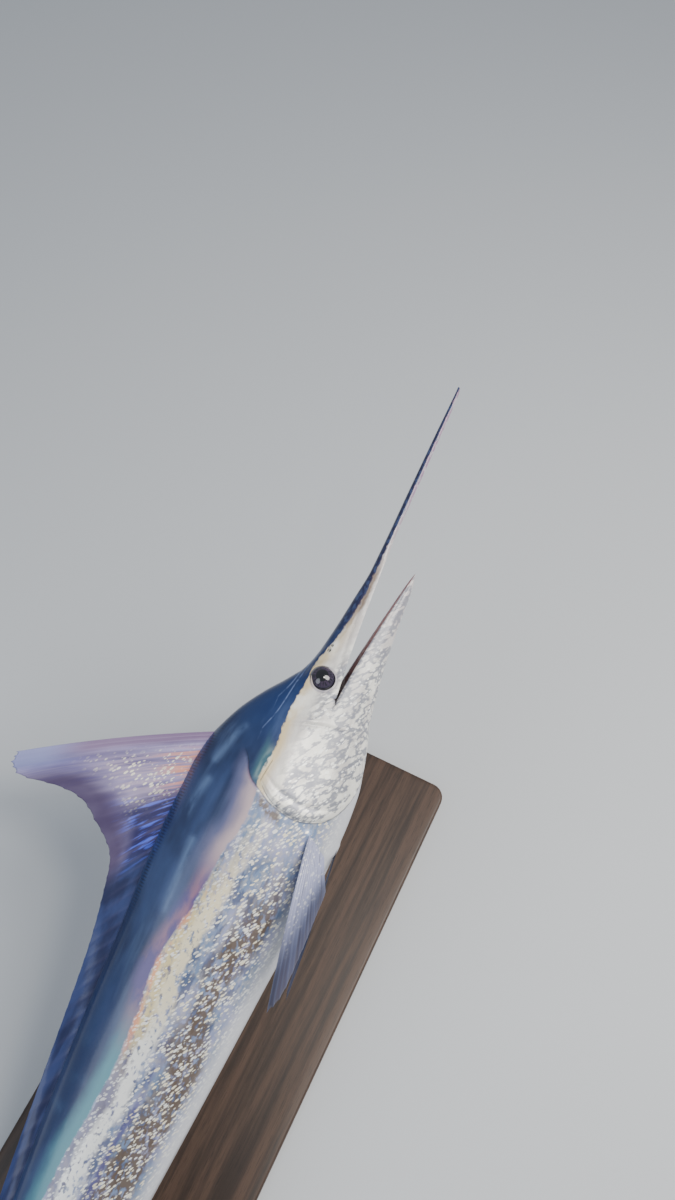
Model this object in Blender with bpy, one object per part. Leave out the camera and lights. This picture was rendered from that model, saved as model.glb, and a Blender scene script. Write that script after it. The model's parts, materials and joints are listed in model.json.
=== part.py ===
"""A striped marlin at life size, leaning on its left side on a display stand with two rods."""

import math

import bmesh
import bpy
import numpy as np
from mathutils import Matrix, Vector

# Driving sizes, in metres and degrees. Stations and heights on the fish are shares of LENGTH,
# and a station counts from the tip of the closed lower jaw towards the tail.
LENGTH = 1.90
GAP = 0.0003
BANK = 74.0
PITCH = 18.0
PIVOT = 0.40
AXIS_HEIGHT = 0.38

BILL_ROOT = 0.045
HINGE = 0.150
GILL_SLIT = 0.240
MID_BODY = 0.47
STALK_START = 0.78
STALK_END = 0.985

# The tail swings gently towards the fish's right
BEND_START = 0.50
BEND = 0.064

AROUND = 36
HALF_GAP = 0.5 * GAP / LENGTH

# Station, height of the back, depth of the belly or chin, half width
PROFILE = (
    (-0.1720, 0.0150, 0.0130, 0.0010),
    (-0.1660, 0.0148, 0.0116, 0.0019),
    (-0.1200, 0.0150, 0.0100, 0.0033),
    (-0.0600, 0.0148, 0.0086, 0.0045),
    (-0.0120, 0.0144, 0.0076, 0.0054),
    (0.0200, 0.0146, -0.0005, 0.0070),
    (0.0500, 0.0176, -0.0090, 0.0103),
    (0.0900, 0.0224, -0.0215, 0.0163),
    (0.1100, 0.0262, -0.0285, 0.0200),
    (0.1280, 0.0320, -0.0355, 0.0235),
    (0.1450, 0.0425, -0.0425, 0.0270),
    (0.1600, 0.0535, -0.0485, 0.0300),
    (0.1900, 0.0705, -0.0575, 0.0350),
    (0.2125, 0.0781, -0.0622, 0.0385),
    (0.2500, 0.0828, -0.0645, 0.0420),
    (0.3000, 0.0825, -0.0638, 0.0435),
    (0.4000, 0.0765, -0.0580, 0.0420),
    (0.5000, 0.0700, -0.0522, 0.0380),
    (0.6000, 0.0610, -0.0457, 0.0330),
    (0.7000, 0.0480, -0.0385, 0.0262),
    (0.8000, 0.0312, -0.0290, 0.0175),
    (0.8800, 0.0212, -0.0210, 0.0122),
    (0.9300, 0.0168, -0.0168, 0.0092),
    (0.9650, 0.0195, -0.0195, 0.0062),
    (0.9850, 0.0225, -0.0225, 0.0030),
)

# How sharply the back narrows to its ridge, and how slab sided the body is
RIDGE = ((-0.172, 0.0), (0.10, 0.0), (0.19, 0.30), (0.30, 0.28), (0.60, 0.15), (0.90, 0.0), (0.985, 0.0))
FULLNESS = 0.88

# The mouth: its upper edge, how far it stands open, and the hollow of the lower jaw
LIP = ((-0.012, 0.0078), (0.045, 0.0045), (0.100, 0.0005), (0.150, -0.0050))
MOUTH_FRONT = (-0.040, 0.0070)
MOUTH_DEEP = -0.12
MOUTH_WIDE = 0.08
MOUTH_OPEN = 12.0
JAW_TIP = 0.006
JAW_RINGS = 11
JAW_ARC = 15
JAW_BLUNT = 0.30
JAW_BLUNT_LONG = 0.022
JAW_HOLLOW = 0.40
JAW_FLOOR = (-0.80, -0.45, 0.0, 0.45, 0.80)

# The eyes and nostrils, on the right side and mirrored
EYE_STATION = 0.1305
EYE_HEIGHT = 0.0125
EYE_RADIUS = 0.0245
EYE_BULGE = 0.0090
RIM_RADIUS = 0.0215
RIM_THICKNESS = 0.0030
NOSTRILS = ((0.1045, 0.0188, 0.0036), (0.0995, 0.0180, 0.0024))

# The gill cover: front edge, rear edge, each as (station, turn from the back in degrees)
GILL_FRONT = ((0.190, 77), (0.176, 90), (0.171, 105), (0.171, 122), (0.172, 140), (0.175, 158))
GILL_REAR = ((0.2320, 76), (0.2440, 91), (0.2475, 108), (0.2410, 128), (0.2220, 148), (0.1950, 166))
GILL_ROWS = 14
GILL_COLUMNS = 5
GILL_FRONT_THICK = 0.0012
GILL_REAR_THICK = 0.0045
GILL_SINK = 0.0020

# Median fins: first and last station, count of rays, ray lengths and ray angles by share of the base.
# The lower the crowding, the closer the front rays stand; 1 spaces them evenly.
DORSAL = {
    "first": 0.2125,
    "last": 0.740,
    "rays": 39,
    "lengths": (
        (0.0, 0.171),
        (0.015, 0.171),
        (0.026, 0.166),
        (0.035, 0.161),
        (0.046, 0.148),
        (0.058, 0.128),
        (0.072, 0.109),
        (0.086, 0.095),
        (0.101, 0.084),
        (0.118, 0.0755),
        (0.14, 0.0645),
        (0.176, 0.052),
        (0.216, 0.046),
        (0.355, 0.034),
        (0.545, 0.026),
        (0.83, 0.019),
        (1.0, 0.008),
    ),
    "angles": ((0.0, 63.0), (0.08, 59.0), (0.155, 44.0), (0.20, 38.0), (0.40, 35.0), (1.0, 32.0)),
    "crowding": 0.25,
    "curl": 8.0,
    "root": 0.0055,
    "rows": 5,
}
# The ray where the sail's high front lobe ends and its long low rear part begins
DORSAL_SPLIT = 16
SECOND_DORSAL = {
    "first": 0.803,
    "last": 0.832,
    "rays": 6,
    "lengths": ((0.0, 0.042), (0.3, 0.030), (0.8, 0.022), (1.0, 0.045)),
    "angles": ((0.0, 52.0), (0.7, 34.0), (1.0, 16.0)),
    "crowding": 1.0,
    "curl": 10.0,
    "root": 0.0042,
    "rows": 4,
}
ANAL = {
    "first": 0.605,
    "last": 0.705,
    "rays": 15,
    "lengths": ((0.0, 0.115), (0.09, 0.106), (0.24, 0.060), (0.45, 0.038), (0.8, 0.024), (1.0, 0.012)),
    "angles": ((0.0, 58.0), (0.3, 48.0), (1.0, 36.0)),
    "crowding": 0.6,
    "curl": 14.0,
    "root": 0.0050,
    "rows": 5,
}
SECOND_ANAL = {
    "first": 0.785,
    "last": 0.814,
    "rays": 6,
    "lengths": ((0.0, 0.042), (0.3, 0.030), (0.8, 0.022), (1.0, 0.045)),
    "angles": ((0.0, 52.0), (0.7, 34.0), (1.0, 16.0)),
    "crowding": 1.0,
    "curl": 10.0,
    "root": 0.0042,
    "rows": 4,
}

# Paired fins, on the left side and mirrored
PECTORAL = {
    "base": ((0.256, -0.032), (0.268, -0.053)),
    "rays": 16,
    "lengths": ((0.0, 0.150), (0.12, 0.137), (0.35, 0.095), (0.65, 0.056), (1.0, 0.029)),
    "spread": 20.0,
    "droop": (7.0, 24.0),
    "flatten": 0.60,
    "sweep": 0.06,
    "root": 0.0065,
    "rows": 6,
}
PELVIC = {
    "base": ((0.256, -0.0628), (0.264, -0.0632)),
    "rays": 3,
    "lengths": ((0.0, 0.135), (0.5, 0.125), (1.0, 0.090)),
    "spread": 8.0,
    "droop": (7.0, 6.0),
    "flatten": 0.2,
    "sweep": -0.03,
    "root": 0.0055,
    "rows": 6,
}

# Each lobe of the tail fin
TAIL_RAYS = 15
TAIL_ROWS = 6
TAIL_TIP = (1.105, 0.188)
TAIL_FORK = 1.010
TAIL_BASE = (0.957, 0.977)
TAIL_BASE_HIGH = 0.0185
TAIL_ROOT_THICK = 0.0115
TAIL_CURL = 0.42

# The keels, two on each side of the stalk: first and last station, height on the side
KEELS = ((0.925, 0.978, 0.0085), (0.925, 0.978, -0.0085))
KEEL_HEIGHT = 0.0050
KEEL_THICK = 0.55
KEEL_SINK = 0.0012
KEEL_RINGS = 7

# How deep a fin is rooted, and how its thickness and margin run
FIN_SINK = 0.012
FIN_EDGE_THICK = 0.0010
FIN_TAPER = 1.2
RAY_EDGE_SHARE = 1.6
MEMBRANE_SHARE = 0.45
MARGIN_NOTCH = 0.03

# The stand: a base, and rods that meet the skin at a station and a turn from the back in degrees.
# A rod's foot is given as (radius, height over the base).
BASE_LONG = 1.10
BASE_WIDE = 0.46
BASE_THICK = 0.026
BASE_CORNER = 0.030
BASE_BEVEL = 0.006
BASE_CENTRE = 0.02
ROD_CONTACTS = ((0.315, 88.0), (0.555, 96.0))
ROD_RADIUS = 0.014
ROD_FOOT = ((0.040, 0.0), (0.040, 0.0084), (0.036, 0.012), (0.020, 0.012), (0.015, 0.017))
ROD_FOOT_HIGH = 0.024
ROD_SIDES = 20
ROD_SINK = 0.040


def clear_scene():
    """Remove every object that a new file starts with."""
    for thing in list(bpy.data.objects):
        bpy.data.objects.remove(thing, do_unlink=True)


def curve(points):
    """A smooth function through (place, value) points that never overshoots them."""
    x = np.array([p[0] for p in points], dtype=float)
    y = np.array([p[1] for p in points], dtype=float)
    step = np.diff(x)
    rise = np.diff(y) / step
    slope = np.zeros_like(x)
    slope[0] = rise[0]
    slope[-1] = rise[-1]
    for i in range(1, len(x) - 1):
        if rise[i - 1] * rise[i] > 0.0:
            before = 2.0 * step[i] + step[i - 1]
            after = step[i] + 2.0 * step[i - 1]
            slope[i] = (before + after) / (before / rise[i - 1] + after / rise[i])

    def value(place):
        i = int(np.clip(np.searchsorted(x, place) - 1, 0, len(step) - 1))
        t = min(max((place - x[i]) / step[i], 0.0), 1.0)
        start = (1.0 + 2.0 * t) * (1.0 - t) ** 2 * y[i] + t * (1.0 - t) ** 2 * step[i] * slope[i]
        end = t * t * (3.0 - 2.0 * t) * y[i + 1] + t * t * (t - 1.0) * step[i] * slope[i + 1]
        return float(start + end)

    return value


back = curve([(row[0], row[1]) for row in PROFILE])
belly = curve([(row[0], row[2]) for row in PROFILE])
half_width = curve([(row[0], row[3]) for row in PROFILE])
ridge = curve(RIDGE)
lip = curve(LIP)


def place(s, y, z):
    """A point of the fish in metres, from its station and its distances left and up as shares."""
    t = max(s - BEND_START, 0.0) / (1.0 - BEND_START)
    shift = -BEND * t**3
    lean = math.atan(3.0 * BEND * t * t / (1.0 - BEND_START))
    along = PIVOT - s - y * math.sin(lean)
    across = shift + y * math.cos(lean)
    return LENGTH * Vector((along, across, z))


def section(s, turn):
    """How far left and up the skin is at a station; turn is 0 on the back and 90 degrees on the left."""
    top = back(s)
    bottom = belly(s)
    middle = 0.5 * (top + bottom)
    up = math.cos(turn)
    side = math.sin(turn)
    slab = math.copysign(abs(side) ** FULLNESS, side)
    y = half_width(s) * slab * (1.0 - ridge(s) * max(up, 0.0) ** 3)
    z = middle + 0.5 * (top - bottom) * up
    return y, z


def skin(s, turn):
    """A point on the skin, in metres."""
    y, z = section(s, turn)
    return place(s, y, z)


def outward(s, turn):
    """The direction straight out of the skin."""
    step = 0.001
    along = skin(s + step, turn) - skin(s - step, turn)
    around = skin(s, turn + step) - skin(s, turn - step)
    return around.cross(along).normalized()


def turn_at(s, z):
    """The turn on the left side where the skin is at height z."""
    middle = 0.5 * (back(s) + belly(s))
    reach = 0.5 * (back(s) - belly(s))
    return math.acos(min(max((z - middle) / reach, -1.0), 1.0))


def add_object(name, mesh, pose):
    """A new object that sits on the fish's pose, or in the world where pose is None."""
    thing = bpy.data.objects.new(name, mesh)
    bpy.context.scene.collection.objects.link(thing)
    thing.parent = pose
    return thing


def solid(name, points, faces, pose):
    """One closed body with its faces pointing out."""
    bm = bmesh.new()
    made = [bm.verts.new(p) for p in points]
    for face in faces:
        bm.faces.new([made[i] for i in face])
    bmesh.ops.recalc_face_normals(bm, faces=bm.faces)
    mesh = bpy.data.meshes.new(name)
    bm.to_mesh(mesh)
    bm.free()
    return add_object(name, mesh, pose)


def loft(name, rings, pose):
    """A closed body through rings of points, split into triangles the same way all along."""
    count = len(rings[0])
    points = [p for ring in rings for p in ring]
    faces = []
    for r in range(len(rings) - 1):
        for k in range(count):
            a = r * count + k
            b = r * count + (k + 1) % count
            faces.append((a, b, b + count))
            faces.append((a, b + count, a + count))
    faces.append(tuple(range(count)))
    faces.append(tuple(reversed(range((len(rings) - 1) * count, len(rings) * count))))
    return solid(name, points, faces, pose)


def blade(name, left, right, pose):
    """A thin closed body between two equal grids of points, split alike on both faces."""
    rows = len(left)
    columns = len(left[0])
    points = [p for row in left for p in row] + [p for row in right for p in row]
    shift = rows * columns
    faces = []
    for r in range(rows - 1):
        for c in range(columns - 1):
            a = r * columns + c
            b = a + 1
            d = a + columns
            e = d + 1
            faces += [(a, b, e), (a, e, d)]
            faces += [(a + shift, e + shift, b + shift), (a + shift, d + shift, e + shift)]
    edge = [c for c in range(columns)]
    edge += [r * columns + columns - 1 for r in range(1, rows)]
    edge += [(rows - 1) * columns + c for c in range(columns - 2, -1, -1)]
    edge += [r * columns for r in range(rows - 2, 0, -1)]
    for i, a in enumerate(edge):
        b = edge[(i + 1) % len(edge)]
        faces += [(a, a + shift, b + shift), (a, b + shift, b)]
    return solid(name, points, faces, pose)


def ball(name, centre, radius, pose, around=16, rings=10, stretch=(1.0, 1.0, 1.0)):
    """A sphere or an egg shape with its poles on the fish's left and right."""
    bm = bmesh.new()
    bmesh.ops.create_uvsphere(bm, u_segments=around, v_segments=rings, radius=radius)
    turn = Matrix.Rotation(math.radians(90.0), 4, "X")
    sized = Matrix.Diagonal((*stretch, 1.0))
    bmesh.ops.transform(bm, matrix=Matrix.Translation(centre) @ sized @ turn, verts=bm.verts)
    mesh = bpy.data.meshes.new(name)
    bm.to_mesh(mesh)
    bm.free()
    return add_object(name, mesh, pose)


def ring_tube(name, centre, radius, thickness, axis, pose, around=20, sides=6):
    """A torus about an axis, for the rim of the eye."""
    frame = axis.to_track_quat("Z", "Y").to_matrix()
    points = []
    faces = []
    for i in range(around):
        a = 2.0 * math.pi * i / around
        for j in range(sides):
            b = 2.0 * math.pi * j / sides
            out = radius + thickness * math.cos(b)
            local = Vector((out * math.cos(a), out * math.sin(a), thickness * math.sin(b)))
            points.append(centre + frame @ local)
            here = i * sides + j
            side = i * sides + (j + 1) % sides
            ahead = (i + 1) % around * sides + j
            corner = (i + 1) % around * sides + (j + 1) % sides
            faces.append((here, ahead, corner, side))
    return solid(name, points, faces, pose)


def guide(thing):
    """Mark an object as a cutter, which isn't part of the model."""
    thing.hide_render = True
    thing.display_type = "WIRE"
    return thing


def keep_largest(mesh):
    """Delete every closed surface of a mesh but the largest."""
    bm = bmesh.new()
    bm.from_mesh(mesh)
    seen = set()
    islands = []
    for start in bm.faces:
        if start in seen:
            continue
        island = []
        queue = [start]
        seen.add(start)
        while queue:
            face = queue.pop()
            island.append(face)
            for edge in face.edges:
                for other in edge.link_faces:
                    if other not in seen:
                        seen.add(other)
                        queue.append(other)
        islands.append(island)
    islands.sort(key=lambda faces: sum(f.calc_area() for f in faces), reverse=True)
    scraps = [f for island in islands[1:] for f in island]
    bmesh.ops.delete(bm, geom=scraps, context="FACES")
    bm.to_mesh(mesh)
    bm.free()


def bake(piece):
    """Apply a piece's modifiers and keep its largest closed surface."""
    bpy.context.view_layer.update()
    seen = piece.evaluated_get(bpy.context.evaluated_depsgraph_get())
    mesh = bpy.data.meshes.new_from_object(seen)
    piece.modifiers.clear()
    keep_largest(mesh)
    piece.data = mesh


def cut(piece, cutter):
    """Take a cutter out of a piece."""
    change = piece.modifiers.new("cut", "BOOLEAN")
    change.operation = "DIFFERENCE"
    change.solver = "EXACT"
    change.object = cutter
    bake(piece)


def fuse(piece, extras):
    """Join other closed bodies to a piece, in one union, and remove them."""
    group = bpy.data.collections.new("extras")
    bpy.context.scene.collection.children.link(group)
    for extra in extras:
        group.objects.link(extra)
    change = piece.modifiers.new("fuse", "BOOLEAN")
    change.operation = "UNION"
    change.solver = "EXACT"
    change.operand_type = "COLLECTION"
    change.collection = group
    bake(piece)
    for extra in extras:
        bpy.data.objects.remove(extra, do_unlink=True)
    bpy.data.collections.remove(group)


def paint(things, name, colour, roughness, metallic=0.0):
    """Give objects their plain material."""
    material = bpy.data.materials.new(name)
    material.use_nodes = True
    shader = material.node_tree.nodes["Principled BSDF"]
    shader.inputs["Base Color"].default_value = (*colour, 1.0)
    shader.inputs["Roughness"].default_value = roughness
    shader.inputs["Metallic"].default_value = metallic
    for thing in things:
        thing.data.materials.clear()
        thing.data.materials.append(material)
        for face in thing.data.polygons:
            face.use_smooth = True


def spaced(first, last, count):
    """Stations evenly from first to last, both included."""
    return [float(s) for s in np.linspace(first, last, count)]


TURNS = [2.0 * math.pi * k / AROUND for k in range(AROUND)]
BILL_STATIONS = [-0.172, -0.170, -0.166, -0.155] + spaced(-0.130, BILL_ROOT, 8)
HEAD_STATIONS = spaced(BILL_ROOT, GILL_SLIT, 15)
FRONT_STATIONS = spaced(GILL_SLIT, MID_BODY, 10)
REAR_STATIONS = spaced(MID_BODY, STALK_START, 11)
STALK_STATIONS = spaced(STALK_START, STALK_END, 10)


def body_rings(stations, turns=TURNS):
    """Rings of skin points, the end rings drawn in by half a gap."""
    inner = list(stations)
    inner[0] += HALF_GAP
    inner[-1] -= HALF_GAP
    return [[skin(s, turn) for turn in turns] for s in inner]


def body_cutter(pose):
    """The whole body from the bill's root to the tail, larger all round by the gap."""
    stations = HEAD_STATIONS + FRONT_STATIONS[1:] + REAR_STATIONS[1:] + STALK_STATIONS[1:]
    rings = [[skin(s, turn) + GAP * outward(s, turn) for turn in TURNS] for s in stations]
    return guide(loft("body_cutter", rings, pose))


def mouth_cutter(pose):
    """Everything under the upper jaw and ahead of the hinge."""
    edge = [(s, lip(s)) for s in spaced(LIP[0][0], HINGE, 9)]
    outline = [MOUTH_FRONT] + edge + [(HINGE, MOUTH_DEEP), (MOUTH_FRONT[0], MOUTH_DEEP)]
    rings = [[place(s, y, z) for s, z in outline] for y in (-MOUTH_WIDE, MOUTH_WIDE)]
    return guide(loft("mouth_cutter", rings, pose))


def eye_centre(side):
    """The middle of an eye, set into the side of the head."""
    y, z = section(EYE_STATION, turn_at(EYE_STATION, EYE_HEIGHT))
    inset = y - (EYE_RADIUS - EYE_BULGE) / LENGTH
    return place(EYE_STATION, side * inset, z)


def make_head(pose):
    """The head, with its mouth, eye sockets, eye rims and nostrils."""
    head = loft("head", body_rings(HEAD_STATIONS), pose)
    mouth = mouth_cutter(pose)
    cut(head, mouth)
    rims = []
    for side in (-1.0, 1.0):
        turn = side * turn_at(EYE_STATION, EYE_HEIGHT)
        axis = outward(EYE_STATION, turn)
        centre = skin(EYE_STATION, turn)
        rims.append(ring_tube("rim", centre, RIM_RADIUS, RIM_THICKNESS, axis, pose))
    fuse(head, rims)
    for side in (-1.0, 1.0):
        socket = guide(ball("socket", eye_centre(side), EYE_RADIUS + GAP, pose))
        cut(head, socket)
        bpy.data.objects.remove(socket)
        for s, height, radius in NOSTRILS:
            turn = side * turn_at(s, height)
            pit = guide(ball("pit", skin(s, turn), radius, pose, 8, 5, (1.5, 1.0, 0.8)))
            cut(head, pit)
            bpy.data.objects.remove(pit)
    return head, mouth


def make_eyes(pose):
    """The two eyeballs."""
    names = {-1.0: "eye_right", 1.0: "eye_left"}
    return [ball(name, eye_centre(side), EYE_RADIUS, pose) for side, name in names.items()]


def make_jaw(pose):
    """The lower jaw, let down about its hinge, with a lip all round and a hollow floor."""
    drop = math.tan(math.radians(MOUTH_OPEN))
    shorten = math.cos(math.radians(MOUTH_OPEN))
    rings = []
    for s in spaced(JAW_TIP, HINGE - 2.0 * HALF_GAP, JAW_RINGS):
        closed = max(HINGE - (HINGE - s) / shorten, 0.0)
        rounding = min(1.0, JAW_BLUNT + (s - JAW_TIP) / JAW_BLUNT_LONG)
        first = turn_at(closed, lip(closed))
        low = (HINGE - s) * drop + 2.0 * HALF_GAP
        ring = []
        for k in range(JAW_ARC):
            turn = first + (2.0 * math.pi - 2.0 * first) * k / (JAW_ARC - 1)
            y, z = section(closed, turn)
            ring.append((y * rounding, lip(closed) + (z - lip(closed)) * rounding - low))
        edge = ring[0][0]
        depth = lip(closed) - belly(closed)
        along = min((s - JAW_TIP) / (HINGE - JAW_TIP), 1.0)
        deep = JAW_HOLLOW * depth * math.sin(math.pi * along) ** 0.6
        for across in JAW_FLOOR:
            sunk = 0.0 if abs(across) == JAW_FLOOR[-1] else deep * (1.0 - across * across)
            ring.append((edge * across, ring[0][1] - sunk * rounding))
        rings.append([place(s, y, z) for y, z in ring])
    return loft("lower_jaw", rings, pose)


def make_gill_cover(name, side, pose, cutter):
    """A thin plate over the gills, lifting towards its free rear edge."""
    front = [curve([(i, p[k]) for i, p in enumerate(GILL_FRONT)]) for k in (0, 1)]
    rear = [curve([(i, p[k]) for i, p in enumerate(GILL_REAR)]) for k in (0, 1)]
    last = len(GILL_FRONT) - 1
    outer = []
    inner = []
    for r in range(GILL_ROWS + 1):
        w = last * r / GILL_ROWS
        ends = math.sin(math.pi * r / GILL_ROWS) ** 0.5
        outer_row = []
        inner_row = []
        for c in range(GILL_COLUMNS + 1):
            t = c / GILL_COLUMNS
            s = front[0](w) * (1.0 - t) + rear[0](w) * t
            turn = side * math.radians(front[1](w) * (1.0 - t) + rear[1](w) * t)
            thick = GILL_FRONT_THICK + (GILL_REAR_THICK - GILL_FRONT_THICK) * t**1.5 * ends
            outer_row.append(skin(s, turn) + thick * outward(s, turn))
            inner_row.append(skin(s, turn) - GILL_SINK * outward(s, turn))
        outer.append(outer_row)
        inner.append(inner_row)
    plate = blade(name, outer, inner, pose)
    cut(plate, cutter)
    return plate


def fin_columns(rays):
    """Places across a fin: every ray, and the middle of each membrane, with which one it is."""
    count = 2 * rays - 1
    return [(c / (count - 1), c % 2 == 0) for c in range(count)]


def fin_thickness(root, v, is_ray):
    """How thick a fin is: rays stand out as ridges, and all thins towards the margin."""
    thick = root * (1.0 - v) ** FIN_TAPER + RAY_EDGE_SHARE * FIN_EDGE_THICK
    return thick if is_ray else max(MEMBRANE_SHARE * thick, FIN_EDGE_THICK)


def fin_rows(rows, length):
    """Places along a ray: one sunk in the body, then from the skin to the tip."""
    return [-FIN_SINK / (LENGTH * length)] + [r / rows for r in range(rows + 1)]


def make_median_fin(name, shape, up, pose, cutter, first_ray=0, last_ray=None):
    """A fin on the middle line, up is 1 on the back and -1 on the belly, or a run of its rays."""
    lengths = curve(shape["lengths"])
    angles = curve(shape["angles"])
    crowding = shape["crowding"]
    outline = back if up > 0 else belly
    last_ray = shape["rays"] - 1 if last_ray is None else last_ray
    columns = fin_columns(shape["rays"])[2 * first_ray : 2 * last_ray + 1]
    left = [[] for _ in range(shape["rows"] + 2)]
    right = [[] for _ in range(shape["rows"] + 2)]
    for c, (u, is_ray) in enumerate(columns):
        share = crowding * u + (1.0 - crowding) * u * u
        s = shape["first"] + (shape["last"] - shape["first"]) * share
        if first_ray > 0 and c == 0:
            s += 2.0 * GAP / LENGTH
        length = lengths(share) * (1.0 if is_ray else 1.0 - MARGIN_NOTCH)
        for r, v in enumerate(fin_rows(shape["rows"], length)):
            lean = math.radians(angles(share) - 0.5 * shape["curl"] * max(v, 0.0))
            aft = length * v * math.cos(lean)
            rise = length * v * math.sin(lean)
            half = 0.5 * fin_thickness(shape["root"], max(v, 0.0), is_ray) / LENGTH
            height = outline(s) + up * rise
            left[r].append(place(s + aft, half, height))
            right[r].append(place(s + aft, -half, height))
    fin = blade(name, left, right, pose)
    cut(fin, cutter)
    return fin


def make_paired_fin(name, shape, side, pose, cutter):
    """A fin on one side of the body, swept back along it."""
    (s0, z0), (s1, z1) = shape["base"]
    lengths = curve(shape["lengths"])
    spread = math.radians(shape["spread"])
    outer = [[] for _ in range(shape["rows"] + 2)]
    inner = [[] for _ in range(shape["rows"] + 2)]
    for u, is_ray in fin_columns(shape["rays"]):
        s = s0 + (s1 - s0) * u
        z = z0 + (z1 - z0) * u
        droop = math.radians(shape["droop"][0] * (1.0 - u) + shape["droop"][1] * u)
        length = lengths(u) * (1.0 if is_ray else 1.0 - MARGIN_NOTCH)
        y = section(s, turn_at(s, z))[0]
        for r, v in enumerate(fin_rows(shape["rows"], length)):
            out = length * v * math.sin(spread) * (1.0 - shape["flatten"] * max(v, 0.0))
            aft = length * v * math.cos(spread) * math.cos(droop)
            down = length * v * math.sin(droop) + length * shape["sweep"] * max(v, 0.0) ** 2
            half = 0.5 * fin_thickness(shape["root"], max(v, 0.0), is_ray) / LENGTH
            tilt = spread * (1.0 - 2.0 * shape["flatten"] * max(v, 0.0))
            step_aft = -half * math.sin(tilt)
            step_out = half * math.cos(tilt)
            outer[r].append(place(s + aft + step_aft, side * (y + out + step_out), z - down))
            inner[r].append(place(s + aft - step_aft, side * (y + out - step_out), z - down))
    fin = blade(name, outer, inner, pose)
    cut(fin, cutter)
    return fin


def make_tail_lobe(name, up, pose, cutter):
    """One lobe of the crescent tail, its rays fanning from the stalk to the trailing edge."""
    tip_s, tip_z = TAIL_TIP
    left = [[] for _ in range(TAIL_ROWS + 1)]
    right = [[] for _ in range(TAIL_ROWS + 1)]
    for u, is_ray in fin_columns(TAIL_RAYS):
        base_s = TAIL_BASE[0] * (1.0 - u) + TAIL_BASE[1] * u
        base_z = TAIL_BASE_HIGH * (1.0 - u) ** 0.8
        end_s = TAIL_FORK + (tip_s - TAIL_FORK) * (1.0 - u) ** 1.25
        end_z = tip_z * (1.0 - u) ** 1.05
        middle_s = base_s + (end_s - base_s) * TAIL_CURL * (0.35 + 0.65 * u)
        middle_z = base_z + (end_z - base_z) * 0.5
        for r in range(TAIL_ROWS + 1):
            v = r / TAIL_ROWS
            s = (1.0 - v) ** 2 * base_s + 2.0 * v * (1.0 - v) * middle_s + v * v * end_s
            z = (1.0 - v) ** 2 * base_z + 2.0 * v * (1.0 - v) * middle_z + v * v * end_z
            half = 0.5 * fin_thickness(TAIL_ROOT_THICK * (1.0 - 0.45 * u), v, is_ray) / LENGTH
            height = up * (z + HALF_GAP)
            left[r].append(place(s, half, height))
            right[r].append(place(s, -half, height))
    lobe = blade(name, left, right, pose)
    cut(lobe, cutter)
    return lobe


def make_stalk(pose):
    """The tail stalk, with two keels on each side."""
    stalk = loft("tail_stalk", body_rings(STALK_STATIONS), pose)
    keels = []
    for side in (-1.0, 1.0):
        for first, last, height in KEELS:
            rings = []
            for t in spaced(0.0, 1.0, KEEL_RINGS):
                s = first + (last - first) * t
                swell = math.sin(math.pi * min(max(t, 0.02), 0.98)) ** 0.7
                turn = turn_at(s, height)
                y, z = section(s, turn)
                out = KEEL_HEIGHT * swell / LENGTH
                thick = KEEL_THICK * out
                corners = ((y - KEEL_SINK, z + thick), (y + out, z), (y - KEEL_SINK, z - thick))
                rings.append([place(s, side * across, up) for across, up in corners])
            keels.append(loft("keel", rings, pose))
    fuse(stalk, keels)
    return stalk


def make_base():
    """The flat base, with its upper edge softened."""
    bm = bmesh.new()
    bmesh.ops.create_cube(bm, size=1.0)
    sized = Matrix.Diagonal((BASE_LONG, BASE_WIDE, BASE_THICK, 1.0))
    moved = Matrix.Translation((BASE_CENTRE, 0.0, 0.5 * BASE_THICK))
    bmesh.ops.transform(bm, matrix=moved @ sized, verts=bm.verts)
    upright = [e for e in bm.edges if abs(e.verts[0].co.z - e.verts[1].co.z) > 0.5 * BASE_THICK]
    bmesh.ops.bevel(bm, geom=upright, offset=BASE_CORNER, segments=4, profile=0.5, affect="EDGES")
    top = [e for e in bm.edges if all(v.co.z > BASE_THICK - GAP for v in e.verts)]
    rim = [e for e in top if any(abs(f.normal.z) < 0.5 for f in e.link_faces)]
    bmesh.ops.bevel(bm, geom=rim, offset=BASE_BEVEL, segments=2, profile=0.5, affect="EDGES")
    mesh = bpy.data.meshes.new("stand_base")
    bm.to_mesh(mesh)
    bm.free()
    return add_object("stand_base", mesh, None)


def make_rod(name, contact, pose, cutter):
    """A turned upright with a flange at its foot, trimmed to the skin that it carries."""
    station, turn = contact
    touch = pose.matrix_world @ skin(station, math.radians(turn))
    low = BASE_THICK + GAP
    outline = [(radius, low + height) for radius, height in ROD_FOOT]
    outline += [(ROD_RADIUS, low + ROD_FOOT_HIGH), (ROD_RADIUS, touch.z + ROD_SINK)]
    turns = [2.0 * math.pi * k / ROD_SIDES for k in range(ROD_SIDES)]
    rings = []
    for radius, z in outline:
        ring = [(touch.x + radius * math.cos(a), touch.y + radius * math.sin(a), z) for a in turns]
        rings.append([Vector(p) for p in ring])
    rod = loft(name, rings, None)
    cut(rod, cutter)
    return rod


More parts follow.
